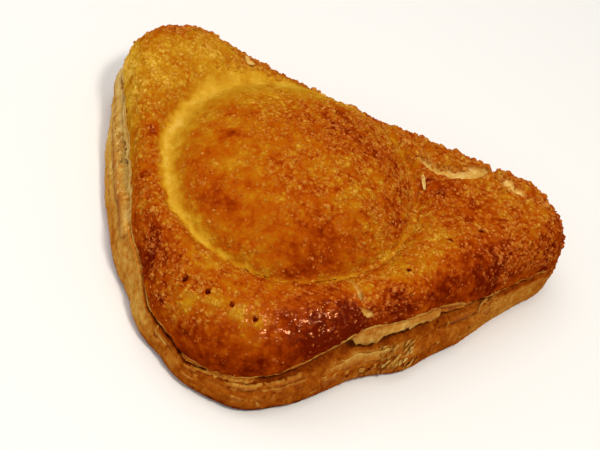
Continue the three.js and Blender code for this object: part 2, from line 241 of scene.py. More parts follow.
# How far the dome and the rim are baked, and where the crust is darker or lighter than that: x, y,
# radius, change.
DOME_BAKE = 0.57
RIM_BAKE = 0.64
BAKE_PATCHES = (
    (-38.9, -5.6, 1.6, 0.3),
    (-51.5, 9.6, 1.1, 0.4),
    (-17, 25.8, 1.2, 0.3),
    (-17, -17, 7, 0.1),
    (17, -23, 8, 0.18),
    (-10, -22, 7, 0.14),
    (23, -13, 7, 0.14),
    (29.4, 0, 6, 0.16),
    (7, 17, 10, 0.2),
    (22, 14, 8, 0.12),
    (-19.1, -2.9, 2.0, 0.36),
    (-13.8, -12.5, 5, -0.16),
    (-10, -5, 4, -0.14),
    (19, 2, 6, -0.08),
    (6, -17, 5, 0.12),
    (-16, 16, 8, -0.2),
    (-34, -21, 7, -0.08),
    (-24, -38, 6, 0.25),
    (-38, -4, 6, -0.02),
    (-33, -17, 6, 0.15),
    (-53, 15, 9, -0.38),
    (-46, 17, 4, 0.08),
    (-43, 7, 7, -0.26),
    (-44, 22, 7, -0.12),
    (-38, 18, 7, -0.24),
    (-34, 29, 9, -0.34),
    (-9.5, -48.4, 2.6, -0.3),
    (4.2, -46.8, 2.2, -0.3),
    (9, -47.6, 1.8, -0.3),
    (-4, -47, 6, -0.18),
    (-14, -46, 3.5, -0.16),
    (-7, -55, 5, 0.06),
    (-1, -50, 4, -0.18),
    (11, -54, 9, 0.08),
    (26, -40, 9, 0.2),
    (30, -37, 5, 0.24),
    (16, -40, 4, 0.1),
    (33, 17, 4, 0.13),
    (49, -16, 4, 0.1),
    (8, -50, 4, -0.14),
    (51, -11, 6, 0.09),
    (42, -11, 5, -0.16),
    (40, -19, 4, -0.14),
    (40, -26, 5, 0.14),
    (32, -36, 5, 0.3),
    (-8, -37, 4, -0.18),
    (-17, -34, 5, -0.2),
    (25, -11, 5, -0.16),
    (60, 4, 6, 0.18),
    (58, -2, 6, 0.14),
    (53, 22, 6, -0.12),
    (8, 0, 5, -0.16),
    (28, -26, 5, -0.22),
    (36, -16, 4, -0.2),
    (44, -4, 5, -0.06),
    (47, 3, 5, -0.06),
    (39, -1, 6, -0.2),
    (51, 6, 6, -0.04),
    (40, 18, 6, 0.16),
    (47, 13, 7, 0.1),
    (42, 30, 14, -0.12),
    (66, 19, 7, -0.08),
    (51, -1, 5, 0.15),
    (12, -27, 4, 0.18),
    (-2, -54, 6, 0.1),
    (20, -28, 5, -0.1),
    (-25, 3, 5, -0.1),
    (17.5, -12.4, 5, -0.1),
    (-6, -20, 6, -0.09),
    (-37, -2, 7, -0.09),
    (22, 27, 5, -0.08),
    (25.4, 5.4, 5, -0.08),
    (9.6, 21.8, 5, -0.08),
    (10.6, -34.6, 4, -0.1),
    # The last two darken the right corner: partly browner crust, partly painted shade.
    (73, 12, 8, 0.12),
    (77, 24, 8, 0.18),
)

# Smooth glazed places with few crumbs: x, y, radius, share taken away.
CRUMB_GAPS = (
    (-20, -8, 13, 0.97),
    (-9, -24, 12, 0.96),
    (8, -27, 11, 0.92),
    (21, -20, 9, 0.8),
    (-27, 12, 12, 0.9),
    (-10, 24, 9, 0.4),
    (0, -58, 11, 0.94),
    (11, -54, 8, 0.85),
    (-50, 22, 9, 0.5),
    (-2, 2, 10, 0.4),
    (19, -47, 11, 0.92),
    (34, -37, 9, 0.7),
    (49, -14, 9, 0.75),
    (55, -4, 7, 0.7),
)

# Places where the glaze stayed glossy: x, y, radius, share.
GLOSS_PATCHES = (
    (10, -51, 5, 1.0),
    (18, -46, 4.5, 1.0),
    (23, -40.5, 4.5, 1.0),
    (27, -34, 4, 0.8),
    (2, -51, 4.5, 0.8),
)

# How brown the torn dough is by bearing, at the bottom leaf's upper edge and at its foot, and how dark the
# split is, which is painted shade in the recess.
TONE_KEYS = ("upper", "foot", "pocket")
TONES = (
    (8, 0.42, 0.42, 0.8),
    (-8, 0.6, 0.55, 0.66),
    (-20, 0.68, 0.68, 0.7),
    (-30, 0.44, 0.6, 0.74),
    (-44, 0.44, 0.6, 0.74),
    (-56, 0.62, 0.68, 0.8),
    (-72, 0.62, 0.66, 0.8),
    (-95, 0.58, 0.56, 0.95),
    (-107, 0.5, 0.48, 0.8),
    (-115, 0.3, 0.32, 0.6),
    (-124, 0.34, 0.36, 0.45),
    (-141, 0.34, 0.4, 0.4),
    (-155, 0.22, 0.32, 0.4),
    (-180, 0.1, 0.22, 0.4),
    (-200, 0.12, 0.26, 0.5),
    (-270, 0.6, 0.66, 0.6),
    (-330, 0.6, 0.66, 0.6),
)

# Torn layers round the cut sides. from and to: bearings. start and end: places on the wall, counted in
# its corner points from the lip. hang: how far the layer hangs free, in place of lying on the wall.
# stand: how far its two edges stand out. cover: share of the length where it shows. rag: unevenness.
# thick: its greatest thickness. tone: how brown it is.
LAYER_KEYS = ("from", "to", "start", "end", "hang", "stand", "cover", "rag", "thick", "tone")
LAYERS = (
    (-204, 6, 0.2, 1.2, 0, (0.15, 0.35), 1.0, 0.4, 0.45, 0.18),
    (-46, -8, 1.0, 2.0, 2.0, (0.15, 0.8), 0.95, 1.1, 0.5, 0.26),
    (-47, -15, 0.9, 2.0, 4.2, (0.3, 1.5), 1.0, 1.3, 0.45, 0.14),
    (-38, -14, 1.1, 2.0, 4.4, (-0.3, -0.4), 0.7, 0.8, 0.4, 0.36),
    (-60, -20, 1.2, 2.0, 1.8, (-0.8, -0.3), 0.7, 0.9, 0.4, 0.6),
    (-202, -134, 4.2, 6.1, 0, (0.3, 0.9), 0.9, 0.6, 0.5, 0.1),
    (-200, -136, 1.0, 2.0, 2.6, (0.1, 0.5), 0.7, 0.8, 0.45, 0.1),
    (-160, -132, 1.0, 2.0, 3.0, (0.1, 0.7), 0.8, 0.6, 0.45, 0.1),
    (-198, -130, 1.2, 2.0, 4.4, (-0.6, 0.1), 0.55, 0.8, 0.4, 0.2),
    (-106, -88, 0.9, 2.0, 0.9, (0.1, 0.45), 0.5, 0.9, 0.35, 0.34),
    (-90, -73, 0.9, 2.0, 1.7, (0.2, 0.9), 0.7, 1.0, 0.35, 0.24),
    (-50, -29, 5.3, 6.7, 0, (0.45, 0.1), 1.0, 0.6, 0.5, 0.1),
    (-108, -60, 4.7, 5.9, 0, (0.3, 0.05), 0.65, 0.8, 0.4, 0.24),
    (-16, 6, 4.7, 5.7, 0, (0.3, 0.05), 0.5, 0.8, 0.4, 0.3),
    (-108, 6, 5.7, 6.9, 0, (0.3, -0.15), 0.4, 0.8, 0.35, 0.24),
    (-108, 6, 6.7, 7.8, 0, (0.3, -0.15), 0.35, 0.8, 0.35, 0.3),
)

# Stations and rows of the layers, the bearing from which they are ordered, and how much browner the inner
# side of a layer or flake is.
LAYER_STATIONS = 640
LAYER_ROWS = 5
FIRST_BEARING = -205
INNER_BROWNER = 0.08

# Loose flakes and scraps on the sides, by bearing and height, and on top, by x and y. turn: how far the
# length turns from level, or from +X on top. bend: how far the two ends curl up. lift: how far it stands
# off. tone: how brown it is.
FLAKE_KEYS = ("place", "turn", "length", "width", "bend", "lift", "tone")
SIDE_FLAKES = (
    ((-3, 14), 76, 5.0, 2.2, 0.8, 1.6, 0.22),
    ((1, 13), 100, 3.4, 1.6, 0.8, 1.2, 0.3),
    ((-147, 11.6), 30, 2.2, 2.2, -0.4, 0.3, 0.02),
)

# Heaps of small scraps on the sides: least and greatest bearing and height, how many, their lengths,
# how slim they are, how far they turn either way from upright, how far they stand off, and their tones.
HEAP_KEYS = ("bearings", "heights", "count", "lengths", "slim", "turn", "lifts", "tones")
HEAPS = (
    ((-35, -25), (5.5, 12), 44, (1.6, 3.2), (0.4, 0.7), 44, (0.1, 0.8), (0.1, 0.44)),
    ((-48, -24), (3, 6.5), 26, (1.6, 3.4), (0.3, 0.6), 30, (0.0, 0.3), (0.36, 0.62)),
    ((-186, -166), (11, 13.5), 26, (0.9, 1.9), (0.6, 0.9), 80, (0.6, 1.1), (0.0, 0.14)),
    ((-160, -144), (10, 12), 7, (0.9, 1.7), (0.6, 0.9), 80, (0.4, 0.8), (0.0, 0.2)),
    ((-24, -4), (6, 13), 9, (1.4, 3.0), (0.3, 0.6), 70, (0.0, 0.3), (0.4, 0.6)),
    ((-84, -52), (4, 9), 9, (1.2, 2.6), (0.3, 0.6), 70, (0.0, 0.3), (0.4, 0.6)),
)
TOP_FLAKES = (
    ((-25.0, 31.4), 150, 3.6, 1.7, 0.7, 0.5, 0.12),
    ((33.3, 17.0), -66, 5.8, 0.9, 0.4, 0.4, 0.02),
)

# Points along and across a flake, its thickness, where the rays that find its place start, and the seeds
# of the first flake or heap of each kind.
FLAKE_STEPS = 11
FLAKE_ROWS = 5
FLAKE_THICKNESS = 0.22
RAY_START = 200
SIDE_FLAKE_SEED = 100
HEAP_SEED = 30
TOP_FLAKE_SEED = 200

# Browning of the crust, from raw dough to scorched: position and linear colour.
BAKE_STOPS = (
    (0.0, (0.7, 0.42, 0.06)),
    (0.14, (0.59, 0.315, 0.02)),
    (0.3, (0.48, 0.21, 0.007)),
    (0.48, (0.415, 0.12, 0.0025)),
    (0.64, (0.38, 0.068, 0.0013)),
    (0.8, (0.27, 0.03, 0.0006)),
    (1.0, (0.12, 0.007, 0.0003)),
)

# Browning of the torn dough, from pale to dark.
LAYER_STOPS = (
    (0.0, (0.72, 0.48, 0.15)),
    (0.2, (0.58, 0.32, 0.06)),
    (0.4, (0.47, 0.18, 0.02)),
    (0.6, (0.35, 0.082, 0.0045)),
    (0.8, (0.21, 0.032, 0.0014)),
    (1.0, (0.07, 0.008, 0.0008)),
)

# Tints of the gloss, the colour of toasted crumbs, and the plan direction of the ridges in the glaze.
WARM_SHEEN = (1.0, 0.62, 0.32, 1.0)
GLINT_SHEEN = (1.0, 0.6, 0.36, 1.0)
TOASTED = (0.8, 0.34, 0.1)
RIDGE_TURN = 36

# The kinds of crumb: the stored value that thins them out, their radii, the least and greatest stretch,
# how finely they are made and how far they sit in the crust.
CRUMB_KEYS = ("by", "radii", "low", "high", "level", "sink")
CRUMB_KINDS = {
    "fine": ("fine", (0.26, 0.6), (0.8, 0.6, 0.4), (1.6, 1.2, 0.8), 1, 0.45),
    "coarse": ("coarse", (0.45, 1.1), (0.8, 0.7, 0.6), (1.4, 1.2, 1.1), 2, 0.1),
    "chips": ("coarse", (0.4, 0.9), (0.9, 0.5, 0.2), (1.6, 0.9, 0.36), 1, 0.1),
}

# How much rarer large crumbs are, how far a crumb tilts and turns in radians, its dents per millimetre
# and their depth, and the seeds of the scatter, the stretch, the turn and the tint.
SMALL_CRUMB_POWER = 1.8
CRUMB_TILT = 0.45
FULL_TURN = 6.28
DENTS = 2.6
DENT_DEPTH = 0.9
SCATTER_SEED = 3
STRETCH_SEED = 11
TURN_SEED = 12
TINT_SEED = 13

# The viewpoint: angles in degrees, the distance and the target in millimetres, the focal length and the
# picture's width in pixels.
VIEW_ELEVATION = 51.33
VIEW_AZIMUTH = 1.89
VIEW_ROLL = 23.39
VIEW_DISTANCE = 400.2
VIEW_TARGET = (7.481, -5.381, 15)
FOCAL_PIXELS = 1475.7
PHOTO_WIDTH = 600
SENSOR_WIDTH = 36

# The stage, in metres: half the floor's side and how far it lies under the pastry, the light from all
# round and the share of it that gloss reflects, and each light's place, target, size and colour.
FLOOR_HALF = 1.5
FLOOR_DROP = 0.0002
SKY_COLOUR = (1.0, 0.985, 0.96, 1.0)
GLOSSY_SKY = 0.01
LIGHTS = {
    "overhead": ((-0.14, 0.1, 0.6), (0, 0, 0.02), 0.42, (1, 1, 1)),
    "lamp": ((0.15, -0.15, 0.56), (0.01, -0.02, 0.02), 0.08, (1, 0.92, 0.8)),
    "glints": ((0.15, -0.15, 0.56), (0.01, -0.02, 0.02), 0.13, (1, 0.76, 0.56)),
    "side": ((-0.55, -0.12, 0.16), (-0.03, 0, 0.012), 0.25, (1, 1, 1)),
}


class CrustSettings(bpy.types.PropertyGroup):
    """Sizes of the crust's mesh and relief."""

    stations: bpy.props.IntProperty(
        name="Stations", description="Steps round the rim, a multiple of 32", default=896, min=160
    )
    dome_rows: bpy.props.IntProperty(
        name="Dome rows", description="Steps from the middle to the groove", default=62
    )
    rim_rows: bpy.props.IntProperty(
        name="Rim rows", description="Steps from the groove to the lip", default=43
    )
    swell: bpy.props.FloatProperty(
        name="Swell", description="Height of the broad unevenness, in millimetres", default=0.42
    )
    grain: bpy.props.FloatProperty(
        name="Grain", description="Height of the crumbly relief, in millimetres", default=0.48
    )


class CrumbSettings(bpy.types.PropertyGroup):
    """How thickly the breadcrumbs lie."""

    fine: bpy.props.FloatProperty(
        name="Fine", description="Fine crumbs per square millimetre where they lie thickest", default=2.05
    )
    coarse: bpy.props.FloatProperty(
        name="Coarse", description="Coarse crumbs per square millimetre where they lie thickest", default=0.34
    )
    chips: bpy.props.FloatProperty(
        name="Chips", description="Chips of pastry per square millimetre where they lie thickest", default=0.3
    )


class StageSettings(bpy.types.PropertyGroup):
    """Floor and lights."""

    floor: bpy.props.FloatVectorProperty(
        name="Floor", description="Colour of the floor", subtype="COLOR", default=(0.86, 0.86, 0.85)
    )
    sky: bpy.props.FloatProperty(
        name="Sky", description="Strength of the light from all round", default=0.44
    )
    key: bpy.props.FloatProperty(
        name="Key", description="Power of the overhead light", default=1.3, unit="POWER"
    )
    lamp: bpy.props.FloatProperty(
        name="Lamp", description="Power of the small lamp", default=1.8, unit="POWER"
    )
    glint: bpy.props.FloatProperty(
        name="Glint", description="Power of the lamp that only the glaze reflects", default=5, unit="POWER"
    )
    side: bpy.props.FloatProperty(
        name="Side", description="Power of the light from the left", default=0.6, unit="POWER"
    )


def smoothstep(low, high, value):
    """0 below low, 1 above high, smooth between."""
    t = np.clip((value - low) / (high - low), 0, 1)
    return t * t * (3 - 2 * t)


def bump(distance, width):
    """1 at the middle, fading out past its width."""
    return np.exp(-((distance / width) ** 2))


def patches(table, x, y):
    """Sum of the rounded patches of a table of x, y, radius and size."""
    return sum(size * bump(np.hypot(x - px, y - py), radius) for px, py, radius, size in table)


def relief(points, size, octaves=3, seed=0):
    """Smooth noise at each point, about -1 to 1, whose features are size across."""
    shift = Vector((seed * 7.3, seed * 3.1, seed * 5.7))
    scaled = points / size
    return np.array([noise.fractal(Vector(p) + shift, 1.0, 2.0, octaves) for p in scaled])


def grains(points, size, seed=0):
    """Rounded pebbles at each point: 1 at a pebble's middle, 0 between them."""
    shift = Vector((seed * 4.9, seed * 8.3, seed * 1.7))
    scaled = points / size
    nearest = np.array([noise.voronoi(Vector(p) + shift)[0][0] for p in scaled])
    return np.clip(1 - nearest * 1.5, 0, 1)


def strata(points, thickness, seed):
    """Shingled layers in a wall: -1 just below a layer's edge, rising to 1 on it."""
    level = points[:, 2] / thickness + 1.2 * relief(points * (1, 1, 0.2), 9, 2, seed)
    return 2 * (level % 1) - 1


def around(table, keys, bearing):
    """Values of a table of bearings at each bearing: a closed Catmull-Rom curve."""
    rows = np.array([row[1:] for row in table], dtype=float)
    drops = np.array([table[0][0] - row[0] for row in table] + [360.0])
    turn = (table[0][0] - bearing) % 360
    i = np.searchsorted(drops, turn, side="right") - 1
    t = ((turn - drops[i]) / (drops[i + 1] - drops[i]))[:, None]
    a, b, c, d = (rows[(i + k) % len(table)] for k in (-1, 0, 1, 2))
    bend = b + 0.5 * t * (c - a + t * (2 * a - 5 * b + 4 * c - d + t * (3 * (b - c) + d - a)))
    bend = np.maximum(bend, 0)
    return {key: bend[:, k] for k, key in enumerate(keys)}


def bearing_of(x, y):
    return np.degrees(np.arctan2(y, x))


def unit(vector):
    return vector / np.linalg.norm(vector, axis=-1, keepdims=True)


def corner_arcs():
    """Centre, start and end of the rounding of each corner."""
    at = [np.array(c["at"]) for c in CORNERS]
    arcs = []
    for i, corner in enumerate(CORNERS):
        back = unit(at[i - 1] - at[i])
        ahead = unit(at[(i + 1) % 3] - at[i])
        half = math.acos(back @ ahead) / 2
        centre = at[i] + unit(back + ahead) * corner["radius"] / math.sin(half)
        reach = corner["radius"] / math.tan(half)
        arcs.append((centre, at[i] + back * reach, at[i] + ahead * reach))
    return arcs


def swelling(table, steps, length):
    """How far out the local swellings of a stretch stand at each share of its length."""
    return sum((rise * bump((steps - share) * length, width) for share, width, rise in table), 0.0 * steps)


def plan_outline(count):
    """Evenly spaced stations round the bottom leaf: place, outward direction and share of the turn."""
    arcs = corner_arcs()
    steps = np.arange(STRETCH_STEPS) / STRETCH_STEPS
    places, turns = [], []
    for i, corner in enumerate(CORNERS):
        centre, start, end = arcs[i]
        first = math.atan2(start[1] - centre[1], start[0] - centre[0])
        sweep = (math.atan2(end[1] - centre[1], end[0] - centre[0]) - first) % (2 * math.pi)
        angle = first + sweep * steps
        bulge = np.sqrt(np.sin(math.pi * steps)) * swelling(corner["bulges"], steps, corner["radius"] * sweep)
        spokes = np.stack([np.cos(angle), np.sin(angle)], axis=1)
        places.append(centre + (corner["radius"] + bulge)[:, None] * spokes)
        turns.append((i + ARC_SHARE * steps) / 3)
        along = arcs[(i + 1) % 3][1] - end
        length = np.linalg.norm(along)
        along = along / length
        out = np.array([along[1], -along[0]])
        swell = corner["bow"] * np.sin(math.pi * steps) ** 1.5 + swelling(corner["swellings"], steps, length)
        places.append(end + along * (steps * length)[:, None] + out * swell[:, None])
        turns.append((i + ARC_SHARE + (1 - ARC_SHARE) * steps) / 3)
    places = np.concatenate(places)
    turns = np.concatenate(turns)
    closed = np.vstack([places, places[:1]])
    walked = np.concatenate([[0], np.cumsum(np.linalg.norm(np.diff(closed, axis=0), axis=1))])
    wanted = np.arange(count) * walked[-1] / count
    at = np.stack([np.interp(wanted, walked, closed[:, k]) for k in (0, 1)], axis=1)
    step = np.roll(at, -2, axis=0) - np.roll(at, 2, axis=0)
    out = unit(np.stack([step[:, 1], -step[:, 0]], axis=1))
    return at, out, np.interp(wanted, walked, np.append(turns, 1.0))


def edge_wave(turn, shift):
    """Unevenness of a torn edge at a share of the turn."""
    return sum(
        size * np.sin(2 * np.pi * repeats * turn + phase * shift) for repeats, phase, size in EDGE_WAVES
    )


def edge_tatter(at, size, seed):
    """Finer raggedness of a torn edge, about -1 to 1."""
    return relief(np.column_stack([at, np.full(len(at), 10.0 * seed)]), size, 3, seed)


def smooth_sides(at):
    """The side values at each station, before the torn edges are made uneven."""
    side = around(SIDES, SIDE_KEYS, bearing_of(at[:, 0], at[:, 1]))
    side["open"] = np.minimum(1, side["open"])
    side["fray"] = np.zeros(len(at))
    return side


def ragged_sides(at, turn):
    """The side values at each station, uneven where the side is cut open."""
    side = smooth_sides(at)
    opened = side["open"]
    loose = opened * np.clip(side["gap"] / 4, 0.2, 1)
    uneven = {}
    for n, (key, (waves, tatters, size)) in enumerate(UNEVEN.items(), 1):
        uneven[key] = waves * edge_wave(turn, n) + tatters * edge_tatter(at, size, n)
    side["fray"] = opened * uneven["fray"]
    side["inset"] = np.maximum(0.4, side["inset"] + opened * uneven["inset"])
    side["recess"] = np.maximum(0.2, side["recess"] + loose * uneven["recess"])
    side["gap"] = np.maximum(0.5, side["gap"] + loose * uneven["gap"])
    side["shred"] = side["shred"] * np.maximum(0, 1 + uneven["shred"])
    return side


def crown_height(x, y, rim, groove):
    """Height of the dome, the groove and the rim, before the edge rounds down."""
    reach = np.hypot(x, y)
    inside = DOME_RISE * (1 - (reach / groove["ring"]) ** groove["power"])
    outside = rim * (1 - np.exp(-np.maximum(0, reach - groove["ring"]) / RIM_REACH))
    over = np.where(reach < groove["ring"], inside, outside)
    away = np.abs(reach - groove["ring"])
    over = over * (1 - np.exp(-((away / groove["valley"]) ** 1.4))) + groove["fill"] * bump(away, 3)
    fall = CORNER_SLOPE * np.maximum(0, reach - CORNER_SLOPE_START)
    return GROOVE_HEIGHT + over - fall + patches(LUMPS, x, y)


def wall_points(at, out, side):
    """Corner points of the wall at each station, from the lip to the foot."""
    points = []
    for cut, fold in zip(CUT_WALL, FOLD_WALL):
        back_cut, z_cut = cut(side)
        back_fold, z_fold = fold(side)
        opened = side["open"]
        back = back_fold + (back_cut - back_fold) * opened
        z = z_fold + (z_cut - z_fold) * opened
        points.append(np.column_stack([at - out * back[:, None], z]))
    return np.array(points)


def wall_place(wall, position):
    """Points of the wall at positions counted in its corner points."""
    k = np.clip(position.astype(int), 0, len(wall) - 2)
    i = np.arange(wall.shape[1])
    share = (position - k)[:, None]
    return wall[k, i] * (1 - share) + wall[k + 1, i] * share


class Rings:
    """Closed rings of points from the top pole to the base pole, stitched into one closed mesh."""

    def __init__(self):
        self.points = []
        self.walls = []
        self.edges = []
        self.counts = []

    def add(self, points, wall, edge, thin=1):
        """One ring, of which one in thin stations is kept."""
        self.points.append(points[::thin])
        self.walls.append(np.broadcast_to(wall, len(points))[::thin])
        self.edges.append(np.broadcast_to(edge, len(points))[::thin])
        self.counts.append(len(self.points[-1]))

    def faces(self, pole):
        """Faces between the rings and to the pole before the first ring and after the last one."""
        starts = np.concatenate([[0], np.cumsum(self.counts)])
        faces = []
        first = np.arange(self.counts[0])
        faces += [(pole, i, (i + 1) % len(first)) for i in first]
        for k in range(len(self.counts) - 1):
            faces += stitch(starts[k], self.counts[k], starts[k + 1], self.counts[k + 1])
        start, count = starts[-2], self.counts[-1]
        faces += [(start + i, pole + 1, start + (i + 1) % count) for i in range(count)]
        return faces


def stitch(here, count, there, next_count):
    """Faces between two rings, the second with as many points, twice as many or half as many."""
    faces = []
    if count == next_count:
        for i in range(count):
            j = (i + 1) % count
            faces.append((here + i, there + i, there + j, here + j))
    elif count < next_count:
        for i in range(count):
            j = (i + 1) % count
            middle = there + 2 * i + 1
            faces += [
                (here + i, there + 2 * i, middle),
                (here + i, middle, here + j),
                (here + j, middle, there + (2 * i + 2) % next_count),
            ]
    else:
        for i in range(next_count):
            j = (i + 1) % next_count
            middle = here + 2 * i + 1
            faces += [
                (here + 2 * i, there + i, middle),
                (middle, there + i, there + j),
                (middle, there + j, here + (2 * i + 2) % count),
            ]
    return faces


def thinning(radius):
    """A ring of this radius keeps one in so many stations."""
    for share, thin in THINNING:
        if radius < share * RING_RADIUS:
            return thin
    return 1


def crust_rings(settings):
    """All rings of the crust, over the dome, the rim, down the wall and under to the centre."""
    at, out, turn = plan_outline(settings.stations)
    side = smooth_sides(at)
    groove = around(GROOVE, GROOVE_KEYS, bearing_of(at[:, 0], at[:, 1]))
    smooth_lip = wall_points(at, out, side)[0][:, :2]
    reach = np.linalg.norm(smooth_lip, axis=1)
    squareness = (unit(smooth_lip) * out).sum(axis=1)
    torn = ragged_sides(at, turn)
    wall = wall_points(at, out, torn)
    rings = Rings()

    def top_ring(r):
        p = unit(smooth_lip) * r[:, None]
        edge = (reach - r) * squareness
        t = np.minimum(1, edge / side["shoulder"])
        rise = np.sqrt(1 - (1 - t) ** 2)
        low = side["lip"] + torn["fray"] * np.exp(-edge / FRAY_REACH)
        z = low + (crown_height(p[:, 0], p[:, 1], side["rim"], groove) - low) * rise
        rings.add(np.column_stack([p, z]), 0.0, edge, thinning(r[0]))

    ring = groove["ring"]
    for j in range(1, settings.dome_rows + 1):
        top_ring(ring * j / settings.dome_rows)
    for j in range(1, settings.rim_rows):
        top_ring(ring + 0.5 * (reach - ring) * (1 - math.cos(math.pi * j / settings.rim_rows)))
    rings.add(wall[0], 0.0, 0.0)
    for k, rows in enumerate(WALL_ROWS):
        for j in range(1, rows + 1):
            rings.add(wall[k] + (wall[k + 1] - wall[k]) * j / rows, k + j / rows, 0.0)
    foot = wall[-1]
    for share, thin in BASE_RINGS:
        rings.add(foot * share, len(WALL_ROWS) + 1, 0.0, thin)
    return rings


def path_distance(x, y, path):
    """Distance to a bent path, and the share of its length at the nearest point."""
    best = np.full(len(x), 1e9)
    share = np.zeros(len(x))
    lengths = [math.dist(a, b) for a, b in zip(path, path[1:])]
    walked = 0
    for (ax, ay), (bx, by), length in zip(path, path[1:], lengths):
        t = np.clip(((x - ax) * (bx - ax) + (y - ay) * (by - ay)) / length**2, 0, 1)
        d = np.hypot(x - ax - t * (bx - ax), y - ay - t * (by - ay))
        nearer = d < best
        best = np.where(nearer, d, best)
        share = np.where(nearer, (walked + t * length) / sum(lengths), share)
        walked += length
    return best, share


def tear_masks(x, y, ragged):
    """How deep each point lies in a tear, how its edge lifts, how open it is and how brown inside."""
    depth, lifted, opened, brown = (np.zeros(len(x)) for _ in range(4))
    for path, width, deep, tone in TEARS:
        distance, share = path_distance(x, y, path)
        half = 0.5 * width * np.sin(np.pi * np.clip(share, 0.03, 0.97)) ** 0.6
        inside = 1 - smoothstep(0.62, 0.95, distance / half + 0.6 * ragged)
        depth = np.maximum(depth, deep * inside)
        brown = np.where(inside > opened, tone, brown)
        opened = np.maximum(opened, inside)
        lifted = np.maximum(lifted, 0.14 * width * bump(distance - 1.15 * half, 0.8) * np.sin(np.pi * share))
    return depth, lifted, opened, brown


def prick_masks(x, y):
    """Depth of the fork holes, the raised ring round each, and how far inside one each point is."""
    depth, lifted, inside = (np.zeros(len(x)) for _ in range(3))
    for px, py in PRICKS:
        distance = np.hypot(x - px, y - py)
        depth = np.maximum(depth, PRICK_DEPTH * (1 - smoothstep(0.5 * PRICK_RADIUS, PRICK_RADIUS, distance)))
        inside = np.maximum(inside, 1 - smoothstep(0.7 * PRICK_RADIUS, 1.3 * PRICK_RADIUS, distance))
        lifted = np.maximum(lifted, 0.2 * bump(distance - 1.5 * PRICK_RADIUS, 0.5))
    return depth, lifted, inside


def ring_mesh(name, rings):
    """A mesh of the rings with their wall and edge values as attributes."""
    points = np.concatenate(rings.points)
    zero = np.zeros(1)
    middle = {"ring": RING_RADIUS, "power": 3, "valley": 1, "fill": 0}
    top = (0, 0, crown_height(zero, zero, 0, middle)[0])
    coordinates = np.vstack([points, [top, (0, 0, 0)]])
    mesh = bpy.data.meshes.new(name)
    mesh.from_pydata(coordinates * MM, [], rings.faces(len(points)))
    store(mesh, "wall", np.concatenate(rings.walls + [[0.0, len(WALL_ROWS) + 1]]))
    store(mesh, "edge", np.concatenate(rings.edges + [[POLE_EDGE, 0.0]]))
    return mesh


def store(mesh, name, values):
    """Keeps one number per vertex under a name."""
    layer = mesh.attributes.get(name) or mesh.attributes.new(name, "FLOAT", "POINT")
    layer.data.foreach_set("value", np.asarray(values, dtype=np.float32))


def numbers(items, name, width):
    """What Blender keeps under a name with each item, width numbers for each."""
    values = np.empty(width * len(items), dtype=np.float32)
    items.foreach_get(name, values)
    return values.astype(float)


def stored(mesh, name):
    """The numbers that store kept under a name."""
    return numbers(mesh.attributes[name].data, "value", 1)


def vertex_places(mesh):
    """Vertex places in millimetres."""
    return numbers(mesh.vertices, "co", 3).reshape(-1, 3) / MM


def vertex_normals(mesh):
    return numbers(mesh.vertex_normals, "vector", 3).reshape(-1, 3)


def refine_marks(mesh):
    """Splits the faces at the fork holes, so that the mesh is fine enough for them."""
    places = vertex_places(mesh)
    near = np.zeros(len(places), dtype=bool)
    for px, py in PRICKS:
        near |= np.hypot(places[:, 0] - px, places[:, 1] - py) < PRICK_REACH
    near &= stored(mesh, "wall") == 0
    form = bmesh.new()
    form.from_mesh(mesh)
    form.verts.ensure_lookup_table()
    chosen = [e for e in form.edges if near[e.verts[0].index] and near[e.verts[1].index]]
    bmesh.ops.subdivide_edges(form, edges=chosen, cuts=1, use_grid_fill=True)
    bmesh.ops.triangulate(form, faces=[f for f in form.faces if len(f.verts) > 4])
    form.to_mesh(mesh)
    form.free()


def pale_mask(points, bearing, wobble):
    """How much the dough in and beside the groove stayed pale, and how brown it is there."""
    groove = around(GROOVE, GROOVE_KEYS, bearing)
    reach = np.hypot(points[:, 0], points[:, 1]) + wobble
    span = groove["outer"] - groove["inner"]
    soft_in = 0.3 * span + 0.4
    soft_out = 0.14 * span + 0.9
    rise = smoothstep(groove["inner"] - soft_in, groove["inner"] + soft_in, reach)
    fall = 1 - smoothstep(groove["outer"] - soft_out, groove["outer"] + soft_out, reach)
    tone = 0.3 - 0.24 * bump(reach - groove["outer"] + 0.28 * span + 0.3, 0.3 * span + 0.4)
    broken = 1.3 * (1 - groove["pale"]) * np.clip(relief(points, 5, 2, 12) + 0.3, 0, 1)
    return groove["pale"] * (1 - broken) * rise * fall, tone


def bake_and_painted_light_map(points, edge, bearing, pale, tone, opened):
    """How far each point of the top is baked, from 0 for raw dough to 1 for scorched, with painted light on
    the left lip and painted shade along the fold's edge.
    """
    x, y = points[:, 0], points[:, 1]
    reach = np.hypot(x, y)
    bake = DOME_BAKE + (RIM_BAKE - DOME_BAKE) * smoothstep(33, 37, reach) + patches(BAKE_PATCHES, x, y)
    front = smoothstep(-125, -100, bearing) * (1 - smoothstep(-10, 15, bearing))
    bake = bake + 0.14 * front * (1 - smoothstep(2, 11, edge)) * opened
    # Painted shade: darker along the edge of the fold, where the crust turns away from the light.
    bake = bake + 0.14 * (1 - opened) * (1 - smoothstep(1, 7, edge))
    # Painted light: lighter along the lip on the left side, as if lit from the left.
    left = smoothstep(138, 160, np.abs(bearing + 8))
    bake = bake - 0.22 * left * (1 - smoothstep(0.3, 4, edge))
    bake = bake + 0.09 * relief(points, 7, 3, 5) + 0.05 * relief(points, 3, 3, 6)
    return bake + (tone - bake) * pale


